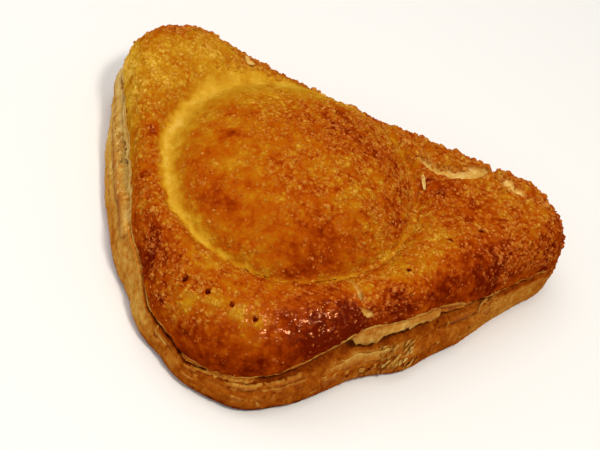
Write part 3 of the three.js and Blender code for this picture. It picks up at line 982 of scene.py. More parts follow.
def wall_tone(points, wall, bearing):
    """How brown the torn dough of the wall is, from 0 for pale to 1 for dark, with painted shade in the
    split.
    """
    tones = around(TONES, TONE_KEYS, bearing)
    leaf = tones["upper"] + (tones["foot"] - tones["upper"]) * smoothstep(LEDGE, LEDGE + 2.6, wall)
    leaf = leaf + 0.3 * smoothstep(len(WALL_ROWS) - 2, len(WALL_ROWS) - 0.8, wall)
    # inside is the split between the leaves; the split's tone there is painted shade.
    inside = smoothstep(1.3, 2.2, wall) * (1 - smoothstep(LEDGE - 0.3, LEDGE + 0.3, wall))
    torn = np.where(wall < LEDGE - 0.5, 0.3, leaf)
    crackle = 0.06 * relief(points * (1, 1, 0.4), 1.6, 3, 21) + 0.12 * relief(points, 5, 3, 22)
    return np.clip(torn + (tones["pocket"] - torn) * inside + crackle, 0, 1)


def finish_crust(mesh, settings):
    """Gives the crust its relief, and stores what its finish and its crumbs need."""
    points = vertex_places(mesh)
    normals = vertex_normals(mesh)
    wall = stored(mesh, "wall")
    edge = stored(mesh, "edge")
    x, y = points[:, 0], points[:, 1]
    bearing = bearing_of(x, y)
    opened = smooth_sides(points[:, :2])["open"]
    under = smoothstep(len(WALL_ROWS) - 0.3, len(WALL_ROWS) + 0.5, wall)
    on_top = 1 - smoothstep(0, 0.6, wall)
    cut = (1 - on_top) * opened * (1 - under)

    # Unevenness of several sizes.
    broad = relief(points, 12, 2, 1)
    middle = relief(points, 4.5, 3, 2)
    fine = relief(points, 1.5, 2, 3)
    clumps = relief(points, 2.4, 2, 11)
    pebbles = grains(points, 1.6, 4)
    strands = np.clip(1 - 4 * np.abs(relief(points, 2.8, 2, 13)), 0, 1)

    # How pale the groove is, and how thickly crumbs lie.
    pale, pale_tone = pale_mask(points, bearing, middle + 0.9 * clumps)
    pale *= on_top
    gaps = np.ones(len(points))
    for px, py, radius, share in CRUMB_GAPS:
        gaps *= 1 - share * bump(np.hypot(x - px, y - py), radius)
    fold_side = (1 - opened) * smoothstep(6, 15, points[:, 2])
    crumb = gaps * (1 - 0.93 * smoothstep(0.3, 0.8, pale)) * smoothstep(-0.7, 0.0, relief(points, 3.2, 2, 7))
    crumb *= np.maximum(on_top, fold_side) * (1 - 0.8 * opened * (1 - smoothstep(0.2, 0.9, edge)))
    crumb *= 1 - under

    # Tears and fork holes.
    torn, torn_lift, torn_open, torn_tone = tear_masks(x, y, relief(points, 2.0, 3, 10))
    hole, hole_lift, hole_open = prick_masks(x, y)
    torn_open *= on_top
    hole_open *= on_top
    sink = (np.maximum(torn, hole) - torn_lift - hole_lift) * on_top

    # Relief: crumbly on the crust, in thin layers on the torn dough, fading out over the lowest 2 mm of the
    # side, and slight on the base.
    gloss = np.clip(patches(GLOSS_PATCHES, x, y), 0, 1) * on_top * smoothstep(22, 25, points[:, 2])
    calm = 1 - 0.5 * smoothstep(0.2, 0.8, pale)
    rise = settings.swell * broad + (0.22 * middle + 0.3 * clumps) * calm
    grainy = 0.12 + 0.88 * np.maximum(crumb, gloss)
    rise += settings.grain * grainy * (0.3 * fine + 0.8 * (pebbles - 0.35) + 0.4 * (strands - 0.25)) * calm
    rough = 0.1 * strata(points, 2.3, 8) + 0.3 * relief(points * (1, 1, 1.6), 3.6, 3, 8) + 0.12 * fine
    rise = np.where(cut > 0.5, rough, rise) * (1 - under)
    lifted = points + normals * rise[:, None]
    lifted[:, 2] -= sink
    kept = smoothstep(0, 2.0, points[:, 2])
    lifted = points + (lifted - points) * kept[:, None]
    base = wall > len(WALL_ROWS) + 0.5
    lifted[:, 2] = np.where(base, BASE_RELIEF * (0.5 + 0.5 * relief(points, 8, 3, 9)), lifted[:, 2])
    lifted[:, 2] = np.maximum(lifted[:, 2], LEAST_HEIGHT)
    mesh.vertices.foreach_set("co", (lifted * MM).astype(np.float32).ravel())
    mesh.update()

    # What the material and the crumbs read.
    bake = bake_and_painted_light_map(points, edge, bearing, pale, pale_tone, opened)
    light = 0.08 * (pebbles - 0.3) + 0.26 * (np.maximum(clumps, 0) - 0.14) + 0.1 * (strands - 0.25)
    bake = bake - (0.15 + 0.85 * crumb) * light * calm
    bake = bake + (0.95 - bake) * hole_open
    bake = np.clip(bake, 0, 1)
    tone = wall_tone(points, wall, bearing)
    tone = tone + (torn_tone + 0.2 * clumps - tone) * torn_open
    clear = (1 - torn_open) * (1 - hole_open)
    store(mesh, "bake", bake)
    store(mesh, "tone", tone)
    store(mesh, "cut", np.maximum(cut, torn_open))
    store(mesh, "under", under)
    store(mesh, "pale", pale)
    store(mesh, "crumb", np.clip(crumb * clear, 0, 1))
    store(mesh, "fine", np.clip(crumb * clear * (0.3 + 0.7 * smoothstep(-0.3, 0.35, clumps)), 0, 1))
    store(mesh, "coarse", np.clip(smoothstep(20, 36, y) * crumb * clear, 0, 1))
    store(mesh, "gloss", gloss * smoothstep(0.05, 0.5, strands))


class Sheets:
    """Thin closed strips of dough, gathered into one mesh with a tone at each vertex."""

    def __init__(self):
        self.points = []
        self.faces = []
        self.tones = []
        self.count = 0

    def strip(self, outer, thick, tone):
        """A strip whose outer side is a grid of points. Its inner side lies thick behind that."""
        length, width = outer.shape[:2]
        along = np.gradient(outer, axis=0)
        across = np.gradient(outer, axis=1)
        inner = outer - unit(np.cross(across, along)) * thick[..., None]
        loop = np.concatenate([outer, inner[:, ::-1]], axis=1)
        around_count = 2 * width
        self.points.append(loop.reshape(-1, 3))
        self.tones.append(np.concatenate([tone, tone[:, ::-1] + INNER_BROWNER], axis=1).ravel())
        start = self.count
        for i in range(length - 1):
            here = start + i * around_count
            for k in range(around_count):
                m = (k + 1) % around_count
                self.faces.append((here + k, here + m, here + around_count + m, here + around_count + k))
        for i, turned in ((0, True), (length - 1, False)):
            here = start + i * around_count
            for k in range(width - 1):
                face = (here + k, here + k + 1, here + around_count - 2 - k, here + around_count - 1 - k)
                self.faces.append(face[::-1] if turned else face)
        self.count += length * around_count

    def mesh(self, name):
        """The strips as one mesh in metres, faces outward."""
        mesh = bpy.data.meshes.new(name)
        mesh.from_pydata(np.concatenate(self.points) * MM, [], self.faces)
        store(mesh, "tone", np.clip(np.concatenate(self.tones), 0, 1))
        return mesh


def wall_layer(sheets, layer, seed, at, out, wall):
    """One torn layer along a stretch of the cut sides."""
    degrees = (bearing_of(at[:, 0], at[:, 1]) - FIRST_BEARING) % 360 + FIRST_BEARING
    order = np.argsort(degrees)
    inside = order[(degrees[order] >= layer["from"]) & (degrees[order] <= layer["to"])]
    at, out, wall, degrees = at[inside], out[inside], wall[:, inside], degrees[inside]
    ends = smoothstep(0, 6, degrees - layer["from"]) * smoothstep(0, 6, layer["to"] - degrees)
    # A hanging layer gets shorter towards the bearing where it ends.
    taper = 1 - 0.85 * ((degrees - layer["from"]) / (layer["to"] - layer["from"])) ** 2
    patchy = 0.5 + 0.55 * edge_tatter(at, 9, 3 * seed + 1)
    shown = smoothstep(-0.12, 0.12, layer["cover"] - patchy) * smoothstep(0, 0.4, ends)
    tatters = 0.35 * edge_tatter(at, 1.3, 3 * seed + 2) + 0.65 * edge_tatter(at, 7, 3 * seed + 3)
    ragged = layer["rag"] * tatters
    outer = np.empty((len(at), LAYER_ROWS, 3))
    for j in range(LAYER_ROWS):
        v = j / (LAYER_ROWS - 1)
        stand = layer["stand"][0] + (layer["stand"][1] - layer["stand"][0]) * v
        stand = stand * shown - 0.7 * (1 - shown) + 0.12 * ragged
        if layer["hang"]:
            place = wall_place(wall, np.full(len(at), layer["start"]))
            drop = layer["hang"] * taper * (0.25 + 0.75 * shown) * np.clip(0.9 + ragged, 0.15, 1.6)
            place[:, 2] -= v * drop
            stand = stand + v * (0.25 * edge_tatter(at, 1.5, seed + 40) + 0.4 * edge_tatter(at, 5, seed + 50))
        else:
            top = layer["start"] - 0.35 * ragged
            place = wall_place(wall, top + (layer["end"] - top) * v)
        outer[:, j, :2] = place[:, :2] + out * stand[:, None]
        outer[:, j, 2] = np.maximum(place[:, 2], 0.3)
    free = np.linspace(0, 1, LAYER_ROWS) if layer["hang"] else np.linspace(1, 0, LAYER_ROWS)
    thick = layer["thick"] * (1 - 0.45 * free)[None, :] * np.ones((len(at), 1))
    spread = 0.12 * relief(outer.reshape(-1, 3), 1.8, 2, seed + 60).reshape(len(at), LAYER_ROWS)
    spread += 0.14 * edge_tatter(at, 12, seed + 80)[:, None]
    tones = around(TONES, TONE_KEYS, degrees)
    local = 0.5 * (tones["upper"] - 0.25)[:, None] + spread
    tone = layer["tone"] + local + (0.14 if layer["hang"] else 0.34) * (1 - free)[None, :]
    sheets.strip(outer, thick, np.clip(tone, 0, 1))


def flake(sheets, spec, seed, place, along, out):
    """One loose flake at a place on the surface: a short curled strip, narrow at both ends."""
    across = np.cross(out, along)
    t = np.linspace(0, 1, FLAKE_STEPS)
    middle = place + np.outer((t - 0.5) * spec["length"], along)
    middle += np.outer(spec["lift"] + spec["bend"] * (4 * (t - 0.5) ** 2 - 0.3), out)
    width = 0.5 * spec["width"] * (0.1 + 0.9 * np.sin(np.pi * t) ** 0.6)
    width *= 1 + 0.5 * relief(middle, 0.9, 2, seed)
    shares = np.linspace(-1, 1, FLAKE_ROWS)
    outer = middle[:, None, :] + (width[:, None] * shares[None, :])[..., None] * across
    outer += (0.25 * spec["bend"] * shares**2)[None, :, None] * out
    grid = (FLAKE_STEPS, FLAKE_ROWS)
    outer += 0.2 * relief(outer.reshape(-1, 3), 1.0, 2, seed + 1).reshape(grid)[..., None] * out
    tone = spec["tone"] + 0.1 * relief(outer.reshape(-1, 3), 1.2, 2, seed).reshape(grid)
    sheets.strip(outer[:, ::-1], np.full(grid, FLAKE_THICKNESS), np.clip(tone, 0, 1))


def surface_frame(crust, start, heading):
    """Where a ray meets the crust, and the outward direction there. start and result in millimetres."""
    hit, place, normal, _ = crust.ray_cast(Vector(start) * MM, Vector(heading))
    if not hit:
        raise RuntimeError(f"nothing was met from {start}")
    return np.array(place) / MM, np.array(normal)


def side_flake(sheets, crust, spec, seed):
    """A flake on the wall, at a bearing and a height."""
    bearing, z = math.radians(spec["place"][0]), spec["place"][1]
    away = np.array([math.cos(bearing), math.sin(bearing), 0])
    place, _ = surface_frame(crust, away * RAY_START + (0, 0, z), -away)
    level = np.array([-away[1], away[0], 0])
    turn = math.radians(spec["turn"])
    along = level * math.cos(turn) + np.array([0, 0, 1]) * math.sin(turn)
    flake(sheets, spec, seed, place, along, away)


def heap(sheets, crust, spec, seed):
    """Small scraps thrown together on the wall, mostly upright."""
    chance = np.random.default_rng(seed)
    for n in range(spec["count"]):
        length = chance.uniform(*spec["lengths"])
        scrap = {
            "place": (chance.uniform(*spec["bearings"]), chance.uniform(*spec["heights"])),
            "turn": 90 + chance.uniform(-1, 1) * spec["turn"],
            "length": length,
            "width": length * chance.uniform(*spec["slim"]),
            "bend": chance.uniform(-0.14, 0.08) * length,
            "lift": chance.uniform(*spec["lifts"]),
            "tone": chance.uniform(*spec["tones"]),
        }
        side_flake(sheets, crust, scrap, 10 * seed + n)


def top_flake(sheets, crust, spec, seed):
    """A flake on the top, at x and y."""
    place, normal = surface_frame(crust, (*spec["place"], RAY_START), (0, 0, -1))
    turn = math.radians(spec["turn"])
    along = np.array([math.cos(turn), math.sin(turn), 0])
    along = unit(along - normal * (along @ normal))
    flake(sheets, spec, seed, place, along, normal)


class Wire:
    """A shader socket that ordinary arithmetic can be written with. Each sign adds a Math node."""

    def __init__(self, recipe, socket):
        self.recipe = recipe
        self.socket = socket

    def maths(self, operation, first, second):
        return self.recipe.node("ShaderNodeMath", {"operation": operation}, {0: first, 1: second})

    def __add__(self, other):
        return self.maths("ADD", self, other)

    __radd__ = __add__

    def __sub__(self, other):
        return self.maths("SUBTRACT", self, other)

    def __rsub__(self, other):
        return self.maths("SUBTRACT", other, self)

    def __mul__(self, other):
        return self.maths("MULTIPLY", self, other)

    __rmul__ = __mul__

    def clipped(self, low=0.0, high=1.0):
        """This value mapped from low..high to 0..1 and held there."""
        inputs = {"Value": self, "From Min": low, "From Max": high}
        return self.recipe.node("ShaderNodeMapRange", {"clamp": True}, inputs)


class Recipe:
    """One procedural material."""

    def __init__(self, name):
        self.material = bpy.data.materials.new(name)
        self.material.use_nodes = True
        self.tree = self.material.node_tree
        self.tree.nodes.clear()
        self.place = self.node("ShaderNodeTexCoord", output="Object")

    def node(self, kind, settings=None, inputs=None, output=0):
        """A node of any kind, as the wire of one of its outputs."""
        node = add_node(self.tree, kind, settings, inputs)
        return Wire(self, node.outputs[output]) if node.outputs else None

    def stretched(self, x, y, z):
        """Object coordinates, scaled by these factors."""
        return self.node("ShaderNodeMapping", None, {"Vector": self.place, "Scale": (x, y, z)})

    def drawn_out(self, turn, stretch):
        """Object coordinates in which a pattern is drawn out along a plan direction, in degrees from +X."""
        inputs = {"Vector": self.place, "Rotation": (0, 0, math.radians(turn)), "Scale": (stretch, 1, 1)}
        return self.node("ShaderNodeMapping", {"vector_type": "TEXTURE"}, inputs)

    def noise(self, size, detail=3.0, roughness=0.55, place=None):
        """Noise whose features are size millimetres across, 0 to 1."""
        inputs = {
            "Vector": place or self.place,
            "Scale": 1 / (size * MM),
            "Detail": detail,
            "Roughness": roughness,
        }
        return self.node("ShaderNodeTexNoise", None, inputs)

    def cells(self, size, output="Distance"):
        """Distance to the nearest of scattered points about size millimetres apart."""
        inputs = {"Vector": self.place, "Scale": 1 / (size * MM)}
        return self.node("ShaderNodeTexVoronoi", None, inputs, output)

    def value(self, name):
        """A number stored on the mesh."""
        return self.node("ShaderNodeAttribute", {"attribute_name": name}, output="Fac")

    def blend(self, share, first, second):
        """A colour between two."""
        inputs = {0: share, 6: opaque(first), 7: opaque(second)}
        return self.node("ShaderNodeMix", {"data_type": "RGBA"}, inputs, 2)

    def ramp(self, share, stops):
        """A colour from a ramp of (position, colour)."""
        return self.node("ShaderNodeValToRGB", {"stops": stops}, {"Fac": share})

    def bumped(self, height, reach, strength=1.0):
        """A normal raised by height, reach millimetres at most."""
        inputs = {"Height": height, "Distance": reach * MM, "Strength": strength}
        return self.node("ShaderNodeBump", None, inputs)

    def shader(self, **inputs):
        """A Principled shader with these inputs."""
        named = {key.replace("_", " "): value for key, value in inputs.items()}
        return self.node("ShaderNodeBsdfPrincipled", None, named)

    def surface(self, shader):
        """Ends the material in a shader."""
        self.node("ShaderNodeOutputMaterial", None, {"Surface": shader})
        return self.material


def opaque(colour):
    """A colour with full alpha, or a wire as it is."""
    return colour if isinstance(colour, Wire) else (*colour, 1.0)


def set_stops(ramp, stops):
    """Gives a colour ramp these (position, colour) stops."""
    while len(ramp.elements) > 1:
        ramp.elements.remove(ramp.elements[-1])
    ramp.elements[0].position, ramp.elements[0].color = stops[0][0], opaque(stops[0][1])
    for position, colour in stops[1:]:
        ramp.elements.new(position).color = opaque(colour)


def add_node(tree, kind, settings=None, inputs=None):
    """A node of any kind: its settings first, then its inputs, each a value, a wire, a socket or a node."""
    node = tree.nodes.new(kind)
    for key, value in (settings or {}).items():
        if key == "stops":
            set_stops(node.color_ramp, value)
        else:
            setattr(node, key, value)
    for key, value in (inputs or {}).items():
        if isinstance(value, Wire):
            value = value.socket
        elif isinstance(value, bpy.types.Node):
            value = value.outputs[0]
        if isinstance(value, bpy.types.NodeSocket):
            tree.links.new(value, node.inputs[key])
        else:
            node.inputs[key].default_value = value
    return node


def layer_colour(recipe, tone):
    """Torn dough: stretched streaks and small dark specks over its tone."""
    streaks = recipe.noise(3.2, 4.0, 0.6, recipe.stretched(1.0, 1.0, 2.0))
    creases = recipe.noise(1.5, 3.0, 0.6, recipe.stretched(1.3, 1.3, 0.7))
    specks = recipe.cells(3.4).clipped(0.2, 0.12) * recipe.noise(11.0).clipped(0.5, 0.62)
    return recipe.ramp(tone + (streaks - 0.5) * 0.35 + (creases - 0.5) * 0.6 + specks * 0.25, LAYER_STOPS)


def crust_finish():
    """Glazed crust over torn layers: browned by the stored bake, which also holds painted light and shade in
    a few places, with mottling, granules and gloss.
    """
    recipe = Recipe("crust")
    bake, cut, under = recipe.value("bake"), recipe.value("cut"), recipe.value("under")
    crumb, pale, gloss = recipe.value("crumb"), recipe.value("pale"), recipe.value("gloss")

    patch = recipe.noise(7.0, 2.0, 0.5)
    mottle = recipe.noise(3.0, 2.0, 0.5)
    speckle = recipe.noise(1.0, 3.0, 0.6)
    granule = recipe.cells(1.15).clipped(0.62, 0.12)
    fleck = granule * recipe.cells(1.15, "Color").clipped(0.45, 0.8)
    grainy = crumb * 0.7 + 0.3
    clots = recipe.noise(1.7, 2.0, 0.5).clipped(0.5, 0.72)
    change = (patch - 0.5) * 0.35 + (mottle - 0.5) * 0.55 + (speckle - 0.5) * 0.4 * grainy
    change = change + (0.15 - clots) * crumb * 0.34 + (0.3 - granule) * 0.14 * grainy
    change = (change + (0.1 - fleck) * 0.26 * grainy) * (1 - pale * 0.4)
    browned = recipe.ramp(bake + change, BAKE_STOPS)
    browned = recipe.blend((fleck * 0.16 + clots * 0.05) * crumb, browned, TOASTED)
    colour = recipe.blend(cut, browned, layer_colour(recipe, recipe.value("tone")))
    soles = recipe.ramp(recipe.noise(9, 5, 0.6), ((0.3, (0.2, 0.05, 0.006)), (0.7, (0.42, 0.16, 0.03))))
    colour = recipe.blend(under, colour, soles)

    height = speckle * 0.45 + recipe.noise(2.4, 2.0) * 0.4 + granule * 0.5 * grainy
    matt = recipe.shader(
        Base_Color=colour,
        Roughness=0.5 + (speckle - 0.5) * 0.2,
        Normal=recipe.bumped(height, 0.65, 0.85),
        Specular_IOR_Level=0.0,
    )
    dents = recipe.noise(2.2, 2.0, 0.5, recipe.drawn_out(RIDGE_TURN, 2.4))
    glazed = recipe.shader(
        Base_Color=colour,
        Roughness=0.24,
        Normal=recipe.bumped(dents + speckle * 0.1, 1.5, 0.9),
        Specular_IOR_Level=1.0,
        Specular_Tint=GLINT_SHEEN,
    )
    shine = gloss * (1 - cut) * 0.9
    return recipe.surface(recipe.node("ShaderNodeMixShader", None, {0: shine, 1: matt, 2: glazed}))


def layer_finish():
    """Torn dough, matt and pale to brown."""
    recipe = Recipe("torn layers")
    height = recipe.noise(1.2, 3.0, 0.6, recipe.stretched(1.0, 1.0, 2.5))
    return recipe.surface(
        recipe.shader(
            Base_Color=layer_colour(recipe, recipe.value("tone")),
            Roughness=0.62,
            Normal=recipe.bumped(height, 0.25, 0.6),
            Specular_IOR_Level=0.08,
            Specular_Tint=WARM_SHEEN,
        )
    )


def crumb_finish():
    """Toasted breadcrumb, mostly a little lighter than the crust it lies on."""
    recipe = Recipe("breadcrumb")
    tint = recipe.value("tint")
    shade = recipe.value("bake") * 0.8 + 0.13 - tint * 0.2 + (recipe.noise(0.7) - 0.5) * 0.34
    colour = recipe.blend(tint * tint * 0.26 + 0.02, recipe.ramp(shade, BAKE_STOPS), TOASTED)
    return recipe.surface(
        recipe.shader(
            Base_Color=colour,
            Roughness=0.5,
            Normal=recipe.bumped(recipe.noise(0.4, 2.0), 0.12, 0.6),
            Specular_IOR_Level=0.0,
        )
    )


def floor_finish(settings):
    """Plain matt floor."""
    recipe = Recipe("floor")
    colour = recipe.blend(recipe.noise(40.0) * 0.04, tuple(settings.floor), (0.8, 0.8, 0.8))
    return recipe.surface(recipe.shader(Base_Color=colour, Roughness=0.8, Specular_IOR_Level=0.2))


def add_piece(name, mesh, material=None, smooth=True):
    """An object at the origin that holds a finished mesh."""
    mesh.polygons.foreach_set("use_smooth", np.full(len(mesh.polygons), smooth))
    if material:
        mesh.materials.append(material)
    piece = bpy.data.objects.new(name, mesh)
    bpy.context.scene.collection.objects.link(piece)
    return piece


def declare(piece):
    """Parents a piece to the pastry's root, so that it moves with the pastry."""
    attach(piece, "root")


class NodeGroup:
    """A Geometry Nodes tree built in code: named inputs, nodes and links."""

    def __init__(self, name):
        self.tree = bpy.data.node_groups.new(name, "GeometryNodeTree")
        self.tree.interface.new_socket("Geometry", in_out="INPUT", socket_type="NodeSocketGeometry")
        self.tree.interface.new_socket("Geometry", in_out="OUTPUT", socket_type="NodeSocketGeometry")
        self.source = self.tree.nodes.new("NodeGroupInput")
        self.result = self.tree.nodes.new("NodeGroupOutput")

    def named(self, name, kind, default):
        """A named input of the tree, and its output socket inside it."""
        socket = self.tree.interface.new_socket(name, in_out="INPUT", socket_type=kind)
        socket.default_value = default
        return self.source.outputs[name]

    def node(self, kind, settings=None, inputs=None):
        return add_node(self.tree, kind, settings, inputs)

    def maths(self, operation, first, second):
        return self.node("ShaderNodeMath", {"operation": operation}, {0: first, 1: second})

    def scaled(self, vector, factor):
        return self.node("ShaderNodeVectorMath", {"operation": "SCALE"}, {0: vector, "Scale": factor})

    def chance(self, seed):
        """A random number from 0 to 1."""
        return self.node("FunctionNodeRandomValue", {"data_type": "FLOAT"}, {"Seed": seed}).outputs[1]

    def random_vector(self, seed, low, high):
        """A random vector between two others."""
        inputs = {0: low, 1: high, "Seed": seed}
        return self.node("FunctionNodeRandomValue", {"data_type": "FLOAT_VECTOR"}, inputs)

    def bake(self, base, name, values):
        """Runs the tree on a piece's mesh and returns the result as a plain mesh."""
        modifier = base.modifiers.new(name, "NODES")
        modifier.node_group = self.tree
        for item in self.tree.interface.items_tree:
            if item.in_out == "INPUT" and item.name in values:
                modifier[item.identifier] = values[item.name]
        evaluated = base.evaluated_get(bpy.context.evaluated_depsgraph_get())
        mesh = bpy.data.meshes.new_from_object(evaluated)
        base.modifiers.remove(modifier)
        mesh.name = name
        return mesh


def crumb_tree(kind, material):
    """Crumbs of one kind over a surface, each turned, stretched, dented and tinted its own way."""
    spec = dict(zip(CRUMB_KEYS, CRUMB_KINDS[kind]))
    group = NodeGroup(kind + " crumbs")
    density = group.named("Density", "NodeSocketFloat", 1.0)
    smallest = group.named("Smallest", "NodeSocketFloat", spec["radii"][0] * MM)
    largest = group.named("Largest", "NodeSocketFloat", spec["radii"][1] * MM)
    seed = group.named("Seed", "NodeSocketInt", 1)
    share = group.node("GeometryNodeInputNamedAttribute", {"data_type": "FLOAT"}, {"Name": spec["by"]})
    scatter = group.node(
        "GeometryNodeDistributePointsOnFaces",
        {"distribute_method": "RANDOM"},
        {"Mesh": group.source, "Density": group.maths("MULTIPLY", share, density), "Seed": seed},
    )
    rarer = group.maths("POWER", group.chance(seed), SMALL_CRUMB_POWER)
    size = group.node("ShaderNodeMapRange", None, {"Value": rarer, "To Min": smallest, "To Max": largest})
    stretch = group.random_vector(STRETCH_SEED, spec["low"], spec["high"])
    turn = group.random_vector(
        TURN_SEED, (-CRUMB_TILT, -CRUMB_TILT, 0.0), (CRUMB_TILT, CRUMB_TILT, FULL_TURN)
    )
    facing = group.node(
        "FunctionNodeRotateEuler",
        {"rotation_type": "EULER", "space": "LOCAL"},
        {"Rotation": scatter.outputs["Rotation"], "Rotate By": turn},
    )
    ball = group.node("GeometryNodeMeshIcoSphere", None, {"Radius": 1.0, "Subdivisions": spec["level"]})
    sunk = group.node("GeometryNodeTransform", None, {0: ball, "Translation": (0.0, 0.0, -spec["sink"])})
    placed = group.node(
        "GeometryNodeInstanceOnPoints",
        None,
        {"Points": scatter, "Instance": sunk, "Rotation": facing, "Scale": group.scaled(stretch, size)},
    )
    tinted = group.node(
        "GeometryNodeStoreNamedAttribute",
        {"data_type": "FLOAT", "domain": "INSTANCE"},
        {"Geometry": placed, "Name": "tint", "Value": group.chance(TINT_SEED)},
    )
    real = group.node("GeometryNodeRealizeInstances", None, {0: tinted})
    wobble = group.node("ShaderNodeTexNoise", None, {"Scale": DENTS / MM, "Detail": 1.0})
    centred = group.node(
        "ShaderNodeVectorMath", {"operation": "SUBTRACT"}, {0: wobble.outputs["Color"], 1: (0.5, 0.5, 0.5)}
    )
    offset = group.scaled(centred, DENT_DEPTH * MM)
    rough = group.node("GeometryNodeSetPosition", None, {"Geometry": real, "Offset": offset})
    painted = group.node("GeometryNodeSetMaterial", None, {"Geometry": rough, "Material": material})
    group.tree.links.new(painted.outputs[0], group.result.inputs[0])
    return group


class PASTRY_OT_crust(bpy.types.Operator):
    """Builds the crust: dome, groove, rim, lip, split, bottom leaf, fold and base."""

    bl_idname = "pastry.crust"
    bl_label = "Crust"

    def execute(self, context):
        settings = context.scene.pastry_crust
        mesh = ring_mesh("crust", crust_rings(settings))
        refine_marks(mesh)
        finish_crust(mesh, settings)
        piece = add_piece("crust", mesh, crust_finish())
        declare(piece)
        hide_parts(NODE)
        return {"FINISHED"}


class PASTRY_OT_layers(bpy.types.Operator):
    """Lays torn layers of dough round the cut sides."""

    bl_idname = "pastry.layers"
    bl_label = "Torn layers"

    def execute(self, context):
        at, out, turn = plan_outline(LAYER_STATIONS)
        wall = wall_points(at, out, ragged_sides(at, turn))
        sheets = Sheets()
        for n, row in enumerate(LAYERS):
            wall_layer(sheets, dict(zip(LAYER_KEYS, row)), n, at, out, wall)
        declare(add_piece("torn_layers", sheets.mesh("torn layers"), layer_finish()))
        return {"FINISHED"}


class PASTRY_OT_flakes(bpy.types.Operator):
    """Adds the single loose flakes and the heaps of scraps."""

    bl_idname = "pastry.flakes"
    bl_label = "Loose flakes"

    def execute(self, context):
        sheets = Sheets()
        crust = bpy.data.objects["crust"].evaluated_get(context.evaluated_depsgraph_get())
        for n, row in enumerate(SIDE_FLAKES):
            side_flake(sheets, crust, dict(zip(FLAKE_KEYS, row)), SIDE_FLAKE_SEED + n)
        for n, row in enumerate(HEAPS):
            heap(sheets, crust, dict(zip(HEAP_KEYS, row)), HEAP_SEED + n)
        for n, row in enumerate(TOP_FLAKES):
            top_flake(sheets, crust, dict(zip(FLAKE_KEYS, row)), TOP_FLAKE_SEED + n)
        declare(add_piece("flakes", sheets.mesh("flakes"), bpy.data.materials["torn layers"]))
        return {"FINISHED"}


class PASTRY_OT_crumbs(bpy.types.Operator):
    """Scatters breadcrumbs of each kind over the crust."""

    bl_idname = "pastry.crumbs"
    bl_label = "Breadcrumbs"

    def execute(self, context):
        base = bpy.data.objects["crust"]
        material = crumb_finish()
        for n, kind in enumerate(CRUMB_KINDS):
            density = getattr(context.scene.pastry_crumbs, kind) / MM**2
            mesh = crumb_tree(kind, material).bake(base, kind, {"Density": density, "Seed": SCATTER_SEED + n})
            if not mesh.polygons:
                raise RuntimeError(f"no {kind} crumbs were made")
            declare(add_piece("crumbs_" + kind, mesh, smooth=False))
        return {"FINISHED"}


def view_axes():
    """The camera's right, up and backward directions."""
    elevation, azimuth, roll = (math.radians(v) for v in (VIEW_ELEVATION, VIEW_AZIMUTH, VIEW_ROLL))
    flat = math.cos(elevation)
    back = Vector((math.sin(azimuth) * flat, -math.cos(azimuth) * flat, math.sin(elevation)))
    level = (-back).cross(Vector((0, 0, 1))).normalized()
    upright = level.cross(-back)
    right = level * math.cos(roll) + upright * math.sin(roll)
    up = upright * math.cos(roll) - level * math.sin(roll)
    return right, up, back


def add_camera():
    """The camera at the photograph's viewing angle."""
    right, up, back = view_axes()
    data = bpy.data.cameras.new("view")
    data.sensor_width = SENSOR_WIDTH
    data.lens = FOCAL_PIXELS * SENSOR_WIDTH / PHOTO_WIDTH
    data.clip_start = 0.01
    camera = bpy.data.objects.new("view", data)
    turn = Matrix((right, up, back)).transposed().to_4x4()
    place = (Vector(VIEW_TARGET) + back * VIEW_DISTANCE) * MM
    camera.matrix_world = Matrix.Translation(place) @ turn
    bpy.context.scene.collection.objects.link(camera)
    bpy.context.scene.camera = camera


def add_floor(settings):
    """A plain floor, just under the pastry."""
    corners = ((-1, -1), (1, -1), (1, 1), (-1, 1))
    mesh = bpy.data.meshes.new("floor")
    mesh.from_pydata([(FLOOR_HALF * x, FLOOR_HALF * y, -FLOOR_DROP) for x, y in corners], [], [(0, 1, 2, 3)])
    floor = add_piece("floor", mesh, floor_finish(settings))
    floor.visible_glossy = False


def add_world(settings):
    """Even light from all round, which gloss hardly reflects."""
    world = bpy.data.worlds.new("studio")
    world.use_nodes = True
    tree = world.node_tree
    glossy = add_node(tree, "ShaderNodeLightPath").outputs["Is Glossy Ray"]
    inputs = {"Value": glossy, "To Min": settings.sky, "To Max": GLOSSY_SKY * settings.sky}
    dimmed = add_node(tree, "ShaderNodeMapRange", None, inputs)
    sky = tree.nodes["Background"]
    sky.inputs["Color"].default_value = SKY_COLOUR
    tree.links.new(dimmed.outputs["Result"], sky.inputs["Strength"])
    bpy.context.scene.world = world


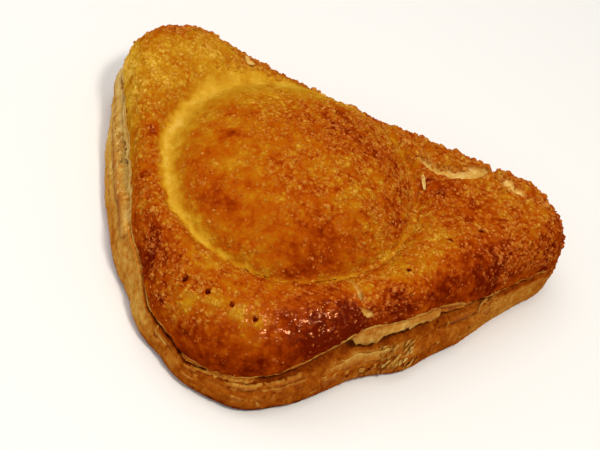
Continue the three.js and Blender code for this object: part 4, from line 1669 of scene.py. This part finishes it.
def add_light(name, power):
    """A soft square light that faces its target."""
    place, target, size, colour = LIGHTS[name]
    data = bpy.data.lights.new(name, "AREA")
    data.color = colour
    data.size = size
    data.energy = power
    light = bpy.data.objects.new(name, data)
    light.location = place
    light.rotation_euler = (Vector(target) - Vector(place)).to_track_quat("-Z", "Y").to_euler()
    bpy.context.scene.collection.objects.link(light)
    return light


class PASTRY_OT_stage(bpy.types.Operator):
    """Sets up the floor, the lights and the camera."""

    bl_idname = "pastry.stage"
    bl_label = "Stage"

    def execute(self, context):
        settings = context.scene.pastry_stage
        add_floor(settings)
        add_world(settings)
        add_light("overhead", settings.key).visible_glossy = False
        add_light("lamp", settings.lamp).visible_glossy = False
        add_light("glints", settings.glint).visible_diffuse = False
        add_light("side", settings.side).visible_glossy = False
        add_camera()
        context.scene.view_settings.view_transform = "Standard"
        return {"FINISHED"}


class PASTRY_PT_panel(bpy.types.Panel):
    """Lists the steps and their sizes."""

    bl_label = "Filled puff pastry"
    bl_space_type = "VIEW_3D"
    bl_region_type = "UI"
    bl_category = "Pastry"

    def draw(self, context):
        for operator in OPERATORS:
            self.layout.operator(operator.bl_idname)
        for name, group in SETTINGS.items():
            for field in group.__annotations__:
                self.layout.prop(getattr(context.scene, name), field)


OPERATORS = (PASTRY_OT_crust, PASTRY_OT_layers, PASTRY_OT_flakes, PASTRY_OT_crumbs, PASTRY_OT_stage)
SETTINGS = {"pastry_crust": CrustSettings, "pastry_crumbs": CrumbSettings, "pastry_stage": StageSettings}


def register():
    for group in SETTINGS.values():
        bpy.utils.register_class(group)
    for name, group in SETTINGS.items():
        setattr(bpy.types.Scene, name, bpy.props.PointerProperty(type=group))
    for part in (*OPERATORS, PASTRY_PT_panel):
        bpy.utils.register_class(part)


def unregister():
    for part in (*OPERATORS, PASTRY_PT_panel):
        bpy.utils.unregister_class(part)
    for name, group in SETTINGS.items():
        delattr(bpy.types.Scene, name)
        bpy.utils.unregister_class(group)


def main():
    register()
    bpy.ops.pastry.crust()
    bpy.ops.pastry.layers()
    bpy.ops.pastry.flakes()
    bpy.ops.pastry.crumbs()
    bpy.ops.pastry.stage()


if __name__ == "__main__":
    main()
